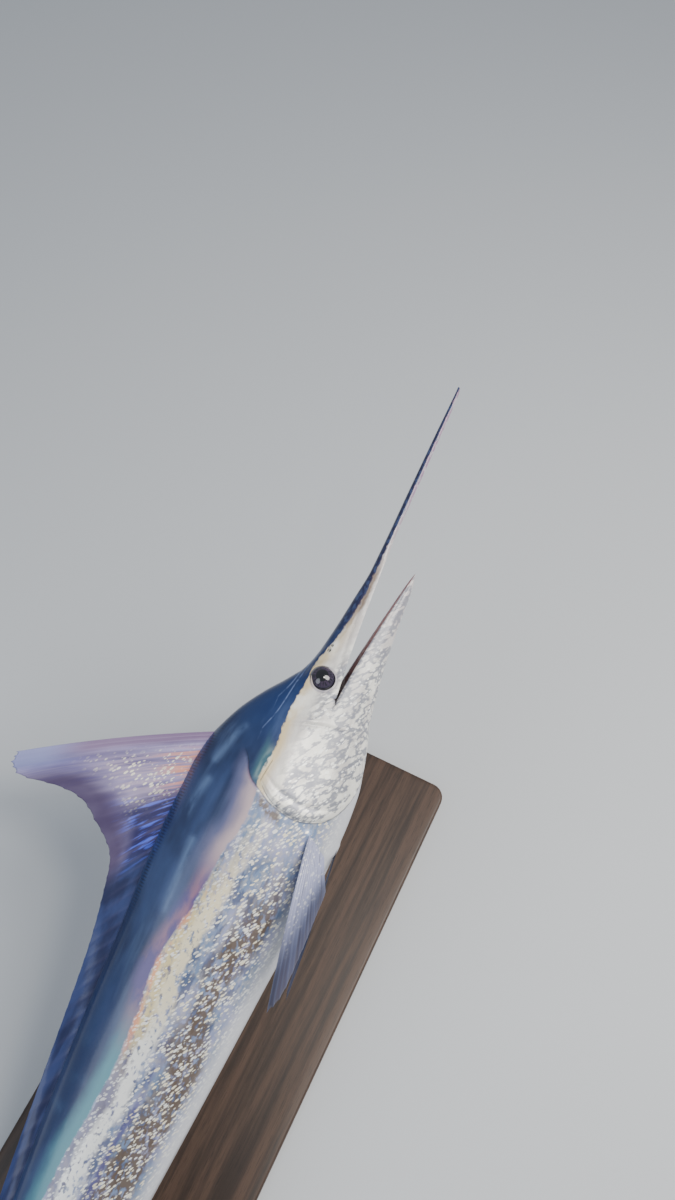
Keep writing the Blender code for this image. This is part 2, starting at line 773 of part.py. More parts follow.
def build():
    """Model the fish in its own frame, pose it, and set it on its stand."""
    clear_scene()
    pose = bpy.data.objects.new("fish_pose", None)
    bpy.context.scene.collection.objects.link(pose)
    lift = Matrix.Translation((0.0, 0.0, AXIS_HEIGHT))
    nose_up = Matrix.Rotation(math.radians(-PITCH), 4, "Y")
    lean = Matrix.Rotation(math.radians(-BANK), 4, "X")
    pose.matrix_world = lift @ nose_up @ lean
    bpy.context.view_layer.update()

    cutter = body_cutter(pose)
    head, mouth = make_head(pose)
    bill = loft("bill", body_rings(BILL_STATIONS, TURNS[::2]), pose)
    cut(bill, mouth)
    jaw = make_jaw(pose)
    trunk_front = loft("trunk_front", body_rings(FRONT_STATIONS), pose)
    trunk_rear = loft("trunk_rear", body_rings(REAR_STATIONS), pose)
    stalk = make_stalk(pose)
    eyes = make_eyes(pose)
    covers = [
        make_gill_cover("gill_cover_right", -1.0, pose, cutter),
        make_gill_cover("gill_cover_left", 1.0, pose, cutter),
    ]
    sails = [
        make_median_fin("dorsal_fin_front", DORSAL, 1.0, pose, cutter, 0, DORSAL_SPLIT),
        make_median_fin("dorsal_fin_rear", DORSAL, 1.0, pose, cutter, DORSAL_SPLIT),
    ]
    fins = [
        make_median_fin("second_dorsal_fin", SECOND_DORSAL, 1.0, pose, cutter),
        make_median_fin("anal_fin", ANAL, -1.0, pose, cutter),
        make_median_fin("second_anal_fin", SECOND_ANAL, -1.0, pose, cutter),
        make_paired_fin("pectoral_fin_right", PECTORAL, -1.0, pose, cutter),
        make_paired_fin("pectoral_fin_left", PECTORAL, 1.0, pose, cutter),
        make_paired_fin("pelvic_fin_right", PELVIC, -1.0, pose, cutter),
        make_paired_fin("pelvic_fin_left", PELVIC, 1.0, pose, cutter),
        make_tail_lobe("tail_fin_upper", 1.0, pose, cutter),
        make_tail_lobe("tail_fin_lower", -1.0, pose, cutter),
    ]
    base = make_base()
    rods = [
        make_rod("stand_rod_front", ROD_CONTACTS[0], pose, cutter),
        make_rod("stand_rod_rear", ROD_CONTACTS[1], pose, cutter),
    ]

    paint([bill], "bill_skin", (0.16, 0.12, 0.20), 0.35)
    paint([head, trunk_front, trunk_rear, stalk], "blue_back", (0.07, 0.11, 0.20), 0.30)
    paint([jaw] + covers, "pale_cheek", (0.75, 0.70, 0.62), 0.35)
    paint(eyes, "dark_eye", (0.02, 0.01, 0.02), 0.08)
    paint(sails, "violet_sail", (0.24, 0.15, 0.34), 0.35)
    paint(fins, "dusky_fin", (0.10, 0.12, 0.20), 0.40)
    paint([base], "stand_board", (0.06, 0.05, 0.05), 0.50)
    paint(rods, "stand_metal", (0.35, 0.35, 0.36), 0.35, 1.0)


build()
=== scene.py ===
# %% [markdown]
# # A striped marlin at life size
# The fish leans on its left side over a plain stand, as a museum would show it. This lesson builds its
# looks around a fixed frame of plain solids: one skin with no seam, eyes, fins with rays, and a stand.
# The first cell loads the frame and keeps its box, which the last cell prints beside the finished one.

import json
import math

import bpy
import numpy as np
from mathutils import Matrix, Vector

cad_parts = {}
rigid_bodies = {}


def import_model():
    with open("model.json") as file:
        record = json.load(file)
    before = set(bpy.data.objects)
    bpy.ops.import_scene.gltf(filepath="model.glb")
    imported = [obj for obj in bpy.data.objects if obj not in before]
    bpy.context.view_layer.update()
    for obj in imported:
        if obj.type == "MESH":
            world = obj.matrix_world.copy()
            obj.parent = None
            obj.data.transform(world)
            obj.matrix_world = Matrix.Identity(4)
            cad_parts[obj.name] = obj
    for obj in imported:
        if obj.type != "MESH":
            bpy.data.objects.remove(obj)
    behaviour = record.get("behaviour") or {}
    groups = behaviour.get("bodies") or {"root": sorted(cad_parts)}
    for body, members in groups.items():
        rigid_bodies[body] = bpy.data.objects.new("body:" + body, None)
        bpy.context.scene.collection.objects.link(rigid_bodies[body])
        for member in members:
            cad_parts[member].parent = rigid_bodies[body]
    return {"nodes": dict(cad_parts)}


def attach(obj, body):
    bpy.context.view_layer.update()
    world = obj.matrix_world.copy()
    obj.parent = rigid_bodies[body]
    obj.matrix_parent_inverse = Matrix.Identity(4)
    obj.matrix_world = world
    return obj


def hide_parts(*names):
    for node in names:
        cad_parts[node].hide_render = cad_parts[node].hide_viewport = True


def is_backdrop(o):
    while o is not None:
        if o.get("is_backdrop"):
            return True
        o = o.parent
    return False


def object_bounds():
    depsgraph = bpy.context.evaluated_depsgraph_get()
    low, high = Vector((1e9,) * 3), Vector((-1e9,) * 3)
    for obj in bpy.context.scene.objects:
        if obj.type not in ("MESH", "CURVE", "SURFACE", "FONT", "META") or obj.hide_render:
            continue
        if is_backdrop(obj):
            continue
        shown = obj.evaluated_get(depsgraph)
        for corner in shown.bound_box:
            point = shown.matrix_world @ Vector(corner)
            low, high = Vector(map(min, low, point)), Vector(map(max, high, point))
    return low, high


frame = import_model()
cad_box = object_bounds()
print("nodes in the frame:", len(frame["nodes"]))

# %% [markdown]
# ## The fish's own measures
# A fish is easiest to describe along its own body: how far from the chin towards the tail, and how far
# up and to the side. All of these are shares of its length, so that the numbers stay small and plain.
# The skin follows one outline of back, belly and half width, read at a few stations. Everywhere below,
# s is a station along the fish, y is how far left of its middle a point is, and z how far up.

# %% Sizes of the body
LENGTH = 1.90
BANK = 74.0
PITCH = 18.0
PIVOT = 0.40
AXIS_HEIGHT = 0.38
BEND_START = 0.50
BEND = 0.064

# Station, height of the back, depth of the belly, half width
PROFILE = (
    (-0.1720, 0.0150, 0.0130, 0.0010),
    (-0.1660, 0.0148, 0.0116, 0.0019),
    (-0.1200, 0.0150, 0.0100, 0.0033),
    (-0.0600, 0.0148, 0.0086, 0.0045),
    (-0.0120, 0.0144, 0.0076, 0.0054),
    (0.0200, 0.0146, -0.0005, 0.0070),
    (0.0500, 0.0176, -0.0090, 0.0103),
    (0.0900, 0.0224, -0.0215, 0.0163),
    (0.1100, 0.0262, -0.0285, 0.0200),
    (0.1280, 0.0320, -0.0355, 0.0235),
    (0.1450, 0.0425, -0.0425, 0.0270),
    (0.1600, 0.0535, -0.0485, 0.0300),
    (0.1900, 0.0705, -0.0575, 0.0350),
    (0.2125, 0.0781, -0.0622, 0.0385),
    (0.2500, 0.0828, -0.0645, 0.0420),
    (0.3000, 0.0825, -0.0638, 0.0435),
    (0.4000, 0.0765, -0.0580, 0.0420),
    (0.5000, 0.0700, -0.0522, 0.0380),
    (0.6000, 0.0610, -0.0457, 0.0330),
    (0.7000, 0.0480, -0.0385, 0.0262),
    (0.8000, 0.0312, -0.0290, 0.0175),
    (0.8800, 0.0212, -0.0210, 0.0122),
    (0.9300, 0.0168, -0.0168, 0.0092),
    (0.9650, 0.0195, -0.0195, 0.0062),
    (0.9850, 0.0225, -0.0225, 0.0030),
)
RIDGE = ((-0.172, 0.0), (0.10, 0.0), (0.19, 0.30), (0.30, 0.28), (0.60, 0.15), (0.90, 0.0), (0.985, 0.0))
RIDGE_SHARPNESS = 3
FULLNESS = 0.88
print("stations of the outline:", len(PROFILE))

# %% Smooth curves
def curve(points):
    """A smooth function through (place, value) points that never overshoots them; it takes arrays."""
    x, y = np.array(points, dtype=float).T
    step = np.diff(x)
    rise = np.diff(y) / step
    slope = np.zeros_like(x)
    slope[0] = rise[0]
    slope[-1] = rise[-1]
    for i in range(1, len(x) - 1):
        if rise[i - 1] * rise[i] > 0.0:
            before = 2.0 * step[i] + step[i - 1]
            after = step[i] + 2.0 * step[i - 1]
            slope[i] = (before + after) / (before / rise[i - 1] + after / rise[i])

    def value(at):
        at = np.asarray(at, dtype=float)
        i = np.clip(np.searchsorted(x, at) - 1, 0, len(step) - 1)
        t = np.clip((at - x[i]) / step[i], 0.0, 1.0)
        start = (1.0 + 2.0 * t) * (1.0 - t) ** 2 * y[i] + t * (1.0 - t) ** 2 * step[i] * slope[i]
        end = t * t * (3.0 - 2.0 * t) * y[i + 1] + t * t * (t - 1.0) * step[i] * slope[i + 1]
        return start + end

    return value


back = curve([(row[0], row[1]) for row in PROFILE])
belly = curve([(row[0], row[2]) for row in PROFILE])
half_width = curve([(row[0], row[3]) for row in PROFILE])
ridge = curve(RIDGE)
deepest = max(row[1] - row[2] for row in PROFILE) * LENGTH
print("greatest depth of the body:", round(1000 * deepest), "mm")

# %% [markdown]
# ## From the fish's measures to the room
# The body leans, its bill points up a little, and its tail swings gently to one side. Two functions
# carry points both ways. The second one is worth having: it tells any vertex, whatever tool has made
# it, where on the fish it lies, and the colours are painted from that.

# %% Place points on the fish
POSE = (
    Matrix.Translation((0.0, 0.0, AXIS_HEIGHT))
    @ Matrix.Rotation(math.radians(-PITCH), 4, "Y")
    @ Matrix.Rotation(math.radians(-BANK), 4, "X")
)
TURN = np.array(POSE.to_3x3())
LIFT = np.array(POSE.translation)
FIND_ROUNDS = 8


def tail_swing(s):
    """How far the middle line has moved aside at a station, and how much it leans there."""
    t = np.maximum(s - BEND_START, 0.0) / (1.0 - BEND_START)
    return -BEND * t**3, np.arctan(3.0 * BEND * t * t / (1.0 - BEND_START))


def place(s, y, z):
    """Points of the fish in metres, from the station and the distances left and up as shares."""
    s, y, z = np.broadcast_arrays(np.asarray(s, float), np.asarray(y, float), np.asarray(z, float))
    shift, lean = tail_swing(s)
    local = LENGTH * np.stack([PIVOT - s - y * np.sin(lean), shift + y * np.cos(lean), z], axis=-1)
    return local @ TURN.T + LIFT


def find(points):
    """The station and the distances left and up, as shares, of points in metres."""
    local = (points - LIFT) @ TURN / LENGTH
    s = PIVOT - local[:, 0]
    y = local[:, 1]
    for _ in range(FIND_ROUNDS):
        shift, lean = tail_swing(s)
        y = (local[:, 1] - shift) / np.cos(lean)
        s = PIVOT - local[:, 0] - y * np.sin(lean)
    return s, y, local[:, 2]


print("the pose turns about", np.round(place(PIVOT, 0.0, 0.0), 3))

# %% The plain skin
SMALL_STEP = 0.001


def section(s, turn):
    """How far left and up the skin is; turn is 0 on the back and a quarter turn on the left."""
    top = back(s)
    bottom = belly(s)
    up = np.cos(turn)
    side = np.sin(turn)
    slab = np.sign(side) * np.abs(side) ** FULLNESS
    y = half_width(s) * slab * (1.0 - ridge(s) * np.maximum(up, 0.0) ** RIDGE_SHARPNESS)
    return y, 0.5 * (top + bottom) + 0.5 * (top - bottom) * up


def skin(s, turn):
    """Points on the plain skin, in metres."""
    y, z = section(s, turn)
    return place(s, y, z)


def outward(s, turn):
    """The directions straight out of the plain skin."""
    along = skin(s + SMALL_STEP, turn) - skin(s - SMALL_STEP, turn)
    around = skin(s, turn + SMALL_STEP) - skin(s, turn - SMALL_STEP)
    out = np.cross(around, along)
    return out / np.linalg.norm(out, axis=-1, keepdims=True)


def turn_at(s, z):
    """The turn on the left side where the skin is at height z."""
    middle = 0.5 * (back(s) + belly(s))
    reach = 0.5 * (back(s) - belly(s))
    return np.arccos(np.clip((z - middle) / reach, -1.0, 1.0))


def aside_at(s, z):
    """How far aside of the middle the plain skin is at height z."""
    return section(s, turn_at(s, z))[0]


bill_tip = place(PROFILE[0][0], 0.0, PROFILE[0][1])
print("bill tip at", np.round(bill_tip, 3))

# %% [markdown]
# ## The camera
# The photograph looks down on the fish from in front of its belly side, quite close, so a wide lens
# gives the same foreshortening. The picture is upright, so the angle is measured from top to bottom.

# %% Camera
CAMERA_PLACE = (-0.0775, -0.2948, 2.0610)
CAMERA_TURN = (27.798, 0.073, -63.137)
VIEW_HEIGHT = 64.01

bpy.ops.object.camera_add(location=CAMERA_PLACE, rotation=[math.radians(a) for a in CAMERA_TURN])
camera = bpy.context.object
camera.name = "camera"
camera.data.sensor_fit = "VERTICAL"
camera.data.angle_y = math.radians(VIEW_HEIGHT)
bpy.context.scene.camera = camera
print("lens:", round(camera.data.lens, 1), "mm")

# %% [markdown]
# ## Helpers for modelling
# Operators act on what is selected, so each piece is first selected alone. Vertices are read and
# written as one array, which is quick and lets us shape thousands of them with one formula. Most
# pieces start as a ball or as a grid with a second face, so each of these has a function. The last
# few functions are the vocabulary of the relief: a soft bump, a smooth step, a window between two
# places, and the distance to a drawn line on the fish's side.

# %% Helpers for meshes
def alone(thing):
    """Select one object and make it the active one."""
    bpy.ops.object.select_all(action="DESELECT")
    thing.select_set(True)
    bpy.context.view_layer.objects.active = thing
    return thing


def named(name):
    """Name the primitive that was just added."""
    thing = alone(bpy.context.object)
    thing.name = name
    thing.data.name = name
    return thing


def points_of(thing):
    """The vertices of a mesh as an array."""
    co = np.empty(len(thing.data.vertices) * 3)
    thing.data.vertices.foreach_get("co", co)
    return co.reshape(-1, 3)


def move_points(thing, points):
    """Write the vertices of a mesh."""
    thing.data.vertices.foreach_set("co", np.asarray(points, dtype=np.float32).ravel())
    thing.data.update()


def settle(thing, smooth=True):
    """Put a piece's place in its mesh, point its faces outwards and smooth it."""
    alone(thing)
    bpy.ops.object.transform_apply(location=True, rotation=True, scale=True)
    bpy.ops.object.mode_set(mode="EDIT")
    bpy.ops.mesh.select_all(action="SELECT")
    bpy.ops.mesh.normals_make_consistent(inside=False)
    bpy.ops.object.mode_set(mode="OBJECT")
    if smooth:
        bpy.ops.object.shade_smooth()
    return thing


print("helpers for meshes ready")

# %% Starting shapes and tools
def globe(name, segments, rings, radius=1.0):
    """Add a ball; give it and its vertices."""
    bpy.ops.mesh.primitive_uv_sphere_add(segments=segments, ring_count=rings, radius=radius)
    thing = named(name)
    return thing, points_of(thing)


def pole_to_pole(ball):
    """How far each vertex of a ball of radius 1 is from the top pole to the other, 0 to 1."""
    return np.arccos(np.clip(ball[:, 2], -1.0, 1.0)) / math.pi


def slab(name, columns, rows):
    """Add a grid and extrude it once, which gives it a second face; give it and its vertices."""
    bpy.ops.mesh.primitive_grid_add(x_subdivisions=columns, y_subdivisions=rows, size=2.0)
    thing = named(name)
    bpy.ops.object.mode_set(mode="EDIT")
    bpy.ops.mesh.extrude_region_move(TRANSFORM_OT_translate={"value": (0.0, 0.0, 1.0)})
    bpy.ops.object.mode_set(mode="OBJECT")
    return thing, points_of(thing)


def combine(thing, other, operation):
    """Cut another mesh out of one, or unite them, and remove the other."""
    alone(thing)
    change = thing.modifiers.new("combine", "BOOLEAN")
    change.operation = operation
    change.solver = "EXACT"
    change.object = other
    bpy.ops.object.modifier_apply(modifier=change.name)
    bpy.data.objects.remove(other, do_unlink=True)


def soften(thing, weights, rounds):
    """Relax the vertices, each as much as its weight says."""
    group = thing.vertex_groups.new(name="soft")
    for index in np.nonzero(weights > 0.01)[0]:
        group.add([int(index)], float(weights[index]), "REPLACE")
    alone(thing)
    change = thing.modifiers.new("soften", "SMOOTH")
    change.factor = 0.5
    change.iterations = rounds
    change.vertex_group = group.name
    bpy.ops.object.modifier_apply(modifier=change.name)
    thing.vertex_groups.clear()


def attribute(thing, name, values):
    """Store one number for each vertex."""
    layer = thing.data.attributes.new(name, "FLOAT", "POINT")
    layer.data.foreach_set("value", np.asarray(values, dtype=np.float32))


print("starting shapes and tools ready")

# %% Forms in numbers
def bump_of(x, centre, width):
    """A soft bump of height 1 about a centre."""
    return np.exp(-(((x - centre) / width) ** 2))


def swell(x, form):
    """A bump or a groove from its height, its centre and its width."""
    height, centre, width = form
    return height * bump_of(x, centre, width)


def ease(x, low, high):
    """0 below low, 1 above high, and smooth between them."""
    t = np.clip((x - low) / (high - low), 0.0, 1.0)
    return t * t * (3.0 - 2.0 * t)


def between(x, start, end, soft):
    """1 between two places, falling off smoothly over a soft width at both."""
    return ease(x, start - soft, start + soft) * (1.0 - ease(x, end - soft, end + soft))


def blend(start, end, share):
    """From one value to another, as a share goes from 0 to 1."""
    return start * (1.0 - share) + end * share


def from_line(line, s, z):
    """Distance in metres, seen from the side, to a line of (station, height) points."""
    nearest = np.full(np.shape(s), 1.0)
    for (s0, z0), (s1, z1) in zip(line, line[1:]):
        ds = s1 - s0
        dz = z1 - z0
        t = np.clip(((s - s0) * ds + (z - z0) * dz) / (ds * ds + dz * dz), 0.0, 1.0)
        nearest = np.minimum(nearest, np.hypot(s - s0 - t * ds, z - z0 - t * dz))
    return LENGTH * nearest


print("half way up a soft step:", float(ease(0.5, 0.0, 1.0)))

# %% [markdown]
# ## The skin
# A marlin's body is one smooth spindle, so it starts as a sphere: its poles become the tip of the bill
# and the end of the tail stalk, its rings become stations, and its segments run round the body. More
# rings go to the head, which has the fine forms. The relief adds what the outline can't: the bony ring
# round the eye, the creases on the nape, the upper lip, the bone behind the cheek, the folds under the
# throat, the fleshy sheaths along the fins, the line along the flank and the keels on the stalk.

# %% Places on the head and the body
EYE_STATION = 0.1305
EYE_HEIGHT = 0.0125
EYE_RADIUS = 0.0245
EYE_BULGE = 0.0090
NOSTRILS = ((0.1045, 0.0188, 0.0036), (0.0995, 0.0180, 0.0026))
SAIL_FIRST = 0.2125
MILLIMETRE = 0.001
LIP = ((-0.012, 0.0078), (0.045, 0.0045), (0.100, 0.0005), (0.150, -0.0050))
CREASES = (
    ((0.098, 0.0232), (0.123, 0.0287), (0.144, 0.0332), (0.172, 0.0376), (0.190, 0.0430)),
    ((0.113, 0.0276), (0.130, 0.0325), (0.146, 0.0366), (0.160, 0.0420)),
)
FLANK_LINE = ((0.250, 0.020), (0.300, 0.010), (0.400, 0.005), (0.600, 0.006), (0.800, 0.001), (0.93, 0.0))
PECTORAL_BASE = ((0.256, -0.032), (0.268, -0.053))
PELVIC_BASE = ((0.256, -0.0628), (0.264, -0.0632))

# Where the gill opening and the bone behind the cheek run: turn from the back in degrees, station
GILL_LINE = (
    (0, 0.205), (45, 0.208), (55, 0.213), (61, 0.219), (66, 0.228), (71, 0.2335), (76, 0.2365),
    (91, 0.2455), (108, 0.2490), (128, 0.2425), (148, 0.2235), (166, 0.1965), (180, 0.1920),
)
CHEEK_LINE = ((50, 0.172), (70, 0.176), (85, 0.171), (105, 0.1655), (122, 0.1645), (140, 0.160), (158, 0.150))
THROAT_FOLDS = (146, 153, 160, 167, 174)

lip = curve(LIP)
gill_line = curve(GILL_LINE)
cheek_line = curve(CHEEK_LINE)
print("creases on the nape:", len(CREASES), "and folds under the throat:", len(THROAT_FOLDS))

# %% Forms of the relief
# Height in millimetres, where the middle is, width
EYE_RING = (1.5, 0.0270, 0.0065)
EYE_HOLLOW = (-0.9, 0.0390, 0.0060)
NOSTRIL_RIM = 0.7
NOSTRIL_RIM_WIDE = 0.0018
CREASE = (-0.9, 0.0, 0.0026)
CREASE_START = 0.004
CREASE_END = 0.008
CREASE_FADE = 0.008
LIP_SWELL = 0.9
LIP_FOLD = (-0.8, 12.5, 2.4)
CHEEK_SWELL = (0.9, -7.0, 6.0)
CHEEK_GROOVE = (-1.1, 1.0, 2.6)
GILL_SWELL = (1.4, 5.0, 4.0)
GILL_GROOVE = (-1.8, 0.0, 2.6)
THROAT_FOLD = 0.7
THROAT_FOLD_WIDE = 1.5
PECTORAL_ROOT = (3.2, 0.0, 0.0075)
PELVIC_ROOT = (2.2, 0.0, 0.0050)
FLANK_GROOVE = (1.0, 0.0, 0.006)
KEEL = 5.0
KEEL_PLACE = (0.925, 0.978, 0.0085)
KEEL_WIDE = 0.0032
KEEL_FULLNESS = 0.7
KEEL_ASIDE = 0.002

# Where along the fish a form lies: start, end and how softly it ends
EYE_HOLLOW_HEIGHTS = (-0.02, 0.03, 0.01)
JAW_SPAN = (0.035, 0.142, 0.010)
LIP_HEIGHTS = (-4.0, 9.0, 2.0)
LOWER_CHEEK_TURNS = (62.0, 152.0, 12.0)
GILL_FOLD_TURNS = (54.0, 80.0, 5.0)
THROAT_SPAN = (0.112, 0.190, 0.012)
FLANK_SPAN = (0.29, 0.89, 0.03)

# The sheaths at the roots of the fins on the middle line: up or down, height, width and span
SHEATHS = (
    (1.0, 2.6, 0.007, (SAIL_FIRST, 0.73, 0.012)),
    (1.0, 1.5, 0.007, (0.800, 0.836, 0.006)),
    (-1.0, 2.4, 0.006, (0.603, 0.710, 0.008)),
    (-1.0, 1.4, 0.006, (0.782, 0.818, 0.006)),
)
print("sheaths along the middle line:", len(SHEATHS))

# %% The relief
def turn_of(s, z):
    """The turn in degrees, 0 to 180, at which the skin has this height."""
    return np.degrees(turn_at(s, z))


def relief(s, y, z):
    """How far the skin stands out of or sinks below its plain outline, in metres."""
    side = np.abs(y)
    turn = turn_of(s, z)
    eye_y = aside_at(EYE_STATION, EYE_HEIGHT)
    from_eye = LENGTH * np.sqrt((s - EYE_STATION) ** 2 + (z - EYE_HEIGHT) ** 2 + (side - eye_y) ** 2)
    out = swell(from_eye, EYE_RING) + swell(from_eye, EYE_HOLLOW) * between(z, *EYE_HOLLOW_HEIGHTS)
    for station, height, radius in NOSTRILS:
        ring = LENGTH * np.hypot(s - station, z - height)
        out += NOSTRIL_RIM * bump_of(ring, 1.5 * radius, NOSTRIL_RIM_WIDE)
    for line in CREASES:
        ends = between(s, line[0][0] + CREASE_START, line[-1][0] - CREASE_END, CREASE_FADE)
        out += ends * swell(from_line(line, s, z), CREASE)
    over_lip = LENGTH * (z - lip(s)) / MILLIMETRE
    out += between(s, *JAW_SPAN) * (LIP_SWELL * between(over_lip, *LIP_HEIGHTS) + swell(over_lip, LIP_FOLD))
    behind = LENGTH * (s - cheek_line(turn)) / MILLIMETRE
    out += between(turn, *LOWER_CHEEK_TURNS) * (swell(behind, CHEEK_SWELL) + swell(behind, CHEEK_GROOVE))
    behind = LENGTH * (s - gill_line(turn)) / MILLIMETRE
    out += between(turn, *GILL_FOLD_TURNS) * (swell(behind, GILL_SWELL) + swell(behind, GILL_GROOVE))
    for at in THROAT_FOLDS:
        out -= THROAT_FOLD * between(s, *THROAT_SPAN) * bump_of(turn, at, THROAT_FOLD_WIDE)
    for up_or_down, height, width, span in SHEATHS:
        out += height * bump_of(LENGTH * side, 0.0, width) * (up_or_down * z > 0.0) * between(s, *span)
    out += swell(from_line(PECTORAL_BASE, s, z), PECTORAL_ROOT)
    out += swell(from_line(PELVIC_BASE, s, z), PELVIC_ROOT)
    out -= swell(LENGTH * (z - curve(FLANK_LINE)(s)), FLANK_GROOVE) * between(s, *FLANK_SPAN)
    first, last, height = KEEL_PLACE
    t = np.clip((s - first) / (last - first), 0.0, 1.0)
    keel = np.maximum(1.0 - LENGTH * np.abs(np.abs(z) - height) / KEEL_WIDE, 0.0)
    out += KEEL * keel * np.sin(math.pi * t) ** KEEL_FULLNESS * (side > KEEL_ASIDE)
    return out * MILLIMETRE


nape = np.array([0.200])
print("relief on the nape:", np.round(relief(nape, 0.0 * nape, back(nape)) / MILLIMETRE, 2), "mm")

# %% Shape the body
BODY_SEGMENTS = 128
BODY_RINGS = 500
RING_SPREAD = ((0.0, -0.172), (0.02, -0.168), (0.12, -0.030), (0.62, 0.262), (1.0, 0.985))

body, ball = globe("marlin_skin", BODY_SEGMENTS, BODY_RINGS)
stations = curve(RING_SPREAD)(pole_to_pole(ball))
turns = np.arctan2(ball[:, 1], ball[:, 0])
left, up = section(stations, turns)
shaped = skin(stations, turns) + relief(stations, left, up)[:, None] * outward(stations, turns)
for pole in np.nonzero(np.abs(ball[:, 2]) > 1.0 - 1e-7)[0]:
    tip = stations[pole]
    shaped[pole] = place(tip, 0.0, 0.5 * (back(tip) + belly(tip)))
move_points(body, shaped)
settle(body)
print("skin vertices:", len(body.data.vertices))

# %% [markdown]
# ## The mouth, the nostrils and the sockets
# The mouth stands a little open, as in the photograph. A block with a curved top takes away all that
# lies under the upper jaw. The cutter starts as a grid that is extruded, and each slice's top follows
# the lip. Balls sink the eye sockets and the double nostril ahead of each eye.

# %% Cut the mouth
HINGE = 0.150
MOUTH_FRONT = -0.040
MOUTH_FRONT_HEIGHT = 0.0070
MOUTH_DEEP = -0.12
MOUTH_WIDE = 0.08
MOUTH_SLICES = 24

mouth, block = slab("mouth", MOUTH_SLICES, 1)
slices = MOUTH_FRONT + (HINGE - MOUTH_FRONT) * 0.5 * (block[:, 0] + 1.0)
tops = np.where(slices < LIP[0][0], MOUTH_FRONT_HEIGHT, lip(slices))
heights = np.where(block[:, 2] > 0.5, tops, MOUTH_DEEP)
move_points(mouth, place(slices, MOUTH_WIDE * block[:, 1], heights))
settle(mouth)
combine(body, mouth, "DIFFERENCE")
print("after the mouth:", len(body.data.vertices))

# %% Sink the sockets and nostrils
CUT_GRID = (40, 28)
SOCKET_PLAY = 0.0002
NOSTRIL_STRETCH = (1.3, 1.0, 0.75)


def eye_centre(side):
    """The middle of an eye, set into the side of the head, in metres."""
    inset = aside_at(EYE_STATION, EYE_HEIGHT) - (EYE_RADIUS - EYE_BULGE) / LENGTH
    return place(EYE_STATION, side * inset, EYE_HEIGHT)


def ball_cut(centre, radius, stretch):
    """Cut a ball, stretched along the fish's own directions, out of the skin."""
    ball, points = globe("ball", *CUT_GRID, radius)
    move_points(ball, points * stretch @ TURN.T + centre)
    combine(body, ball, "DIFFERENCE")


for side in (-1.0, 1.0):
    ball_cut(eye_centre(side), EYE_RADIUS + SOCKET_PLAY, (1.0, 1.0, 1.0))
    for station, height, radius in NOSTRILS:
        ball_cut(skin(station, side * turn_at(station, height)), radius, NOSTRIL_STRETCH)
print("after the sockets:", len(body.data.vertices))

# %% [markdown]
# ## The lower jaw
# It is a long scoop with a rounded tip. Again a sphere is the start: its poles become the tip and the
# root, and its segments run along the outer skin, over one lip, across the floor and over the other
# lip. A low tongue lies on the floor. The root goes well into the head. The two are united, and the
# skin about the hinge is relaxed, so that jaw and cheek flow into each other as flesh does.

# %% Shape the lower jaw
MOUTH_OPEN = 12.0
JAW_TIP = 0.006
JAW_ROOT = 0.160
JAW_HOLLOW = 0.40
JAW_HOLLOW_FULLNESS = 0.6
JAW_BLUNT_LONG = 0.020
JAW_SEGMENTS = 72
JAW_RINGS = 120
OUTER_SHARE = 0.62
JAW_CROWDING = 1.3
JAW_LIP = (0.8, 0.0, 0.030)
JAW_LIP_FOLD = (-0.7, 0.085, 0.022)
JAW_RIM_OUT = 0.8
FLOOR_WIDE = 0.86
LIP_BEAD = (0.0016, 0.93, 0.06)
TONGUE = (0.45, 0.0, 0.34)
TONGUE_SPAN = (0.42, 1.2, 0.10)

jaw, ball = globe("lower_jaw_skin", JAW_SEGMENTS, JAW_RINGS)
around = np.mod(np.arctan2(ball[:, 1], ball[:, 0]) / (2.0 * math.pi), 1.0)
s = JAW_TIP + (JAW_ROOT - JAW_TIP) * pole_to_pole(ball) ** JAW_CROWDING
drop = math.tan(math.radians(MOUTH_OPEN))
closed = np.maximum(HINGE - (HINGE - s) / math.cos(math.radians(MOUTH_OPEN)), 0.0)
blunt = np.sqrt(1.0 - (1.0 - np.clip((s - JAW_TIP) / JAW_BLUNT_LONG, 0.0, 1.0)) ** 2)
edge_turn = turn_at(closed, lip(closed))
on_skin = np.clip(around / OUTER_SHARE, 0.0, 1.0)
outer_y, outer_z = section(closed, edge_turn + (2.0 * math.pi - 2.0 * edge_turn) * on_skin)
from_edge = np.minimum(on_skin, 1.0 - on_skin)
jaw_lip = swell(from_edge, JAW_LIP) + swell(from_edge, JAW_LIP_FOLD)
outer_y = outer_y + np.sign(outer_y) * jaw_lip * MILLIMETRE / LENGTH
across = 2.0 * np.clip((around - OUTER_SHARE) / (1.0 - OUTER_SHARE), 0.0, 1.0) - 1.0
rim_y = section(closed, edge_turn)[0] + JAW_RIM_OUT * MILLIMETRE / LENGTH
depth = lip(closed) - belly(closed)
lengthwise = np.clip((s - JAW_TIP) / (HINGE - JAW_TIP), 0.0, 1.0)
deep = JAW_HOLLOW * depth * np.sin(math.pi * lengthwise) ** JAW_HOLLOW_FULLNESS
tongue = swell(across, TONGUE) * between(lengthwise, *TONGUE_SPAN)
sunk = deep * (1.0 - (across / FLOOR_WIDE) ** 2) * (np.abs(across) < FLOOR_WIDE) * (1.0 - tongue)
bead = swell(np.abs(across), LIP_BEAD) / LENGTH
is_floor = around > OUTER_SHARE
y = np.where(is_floor, rim_y * across, outer_y) * blunt
z = np.where(is_floor, bead - sunk, outer_z - lip(closed)) * blunt
move_points(jaw, place(s, y, lip(closed) + z - (HINGE - s) * drop))
settle(jaw)
print("lower jaw vertices:", len(jaw.data.vertices))

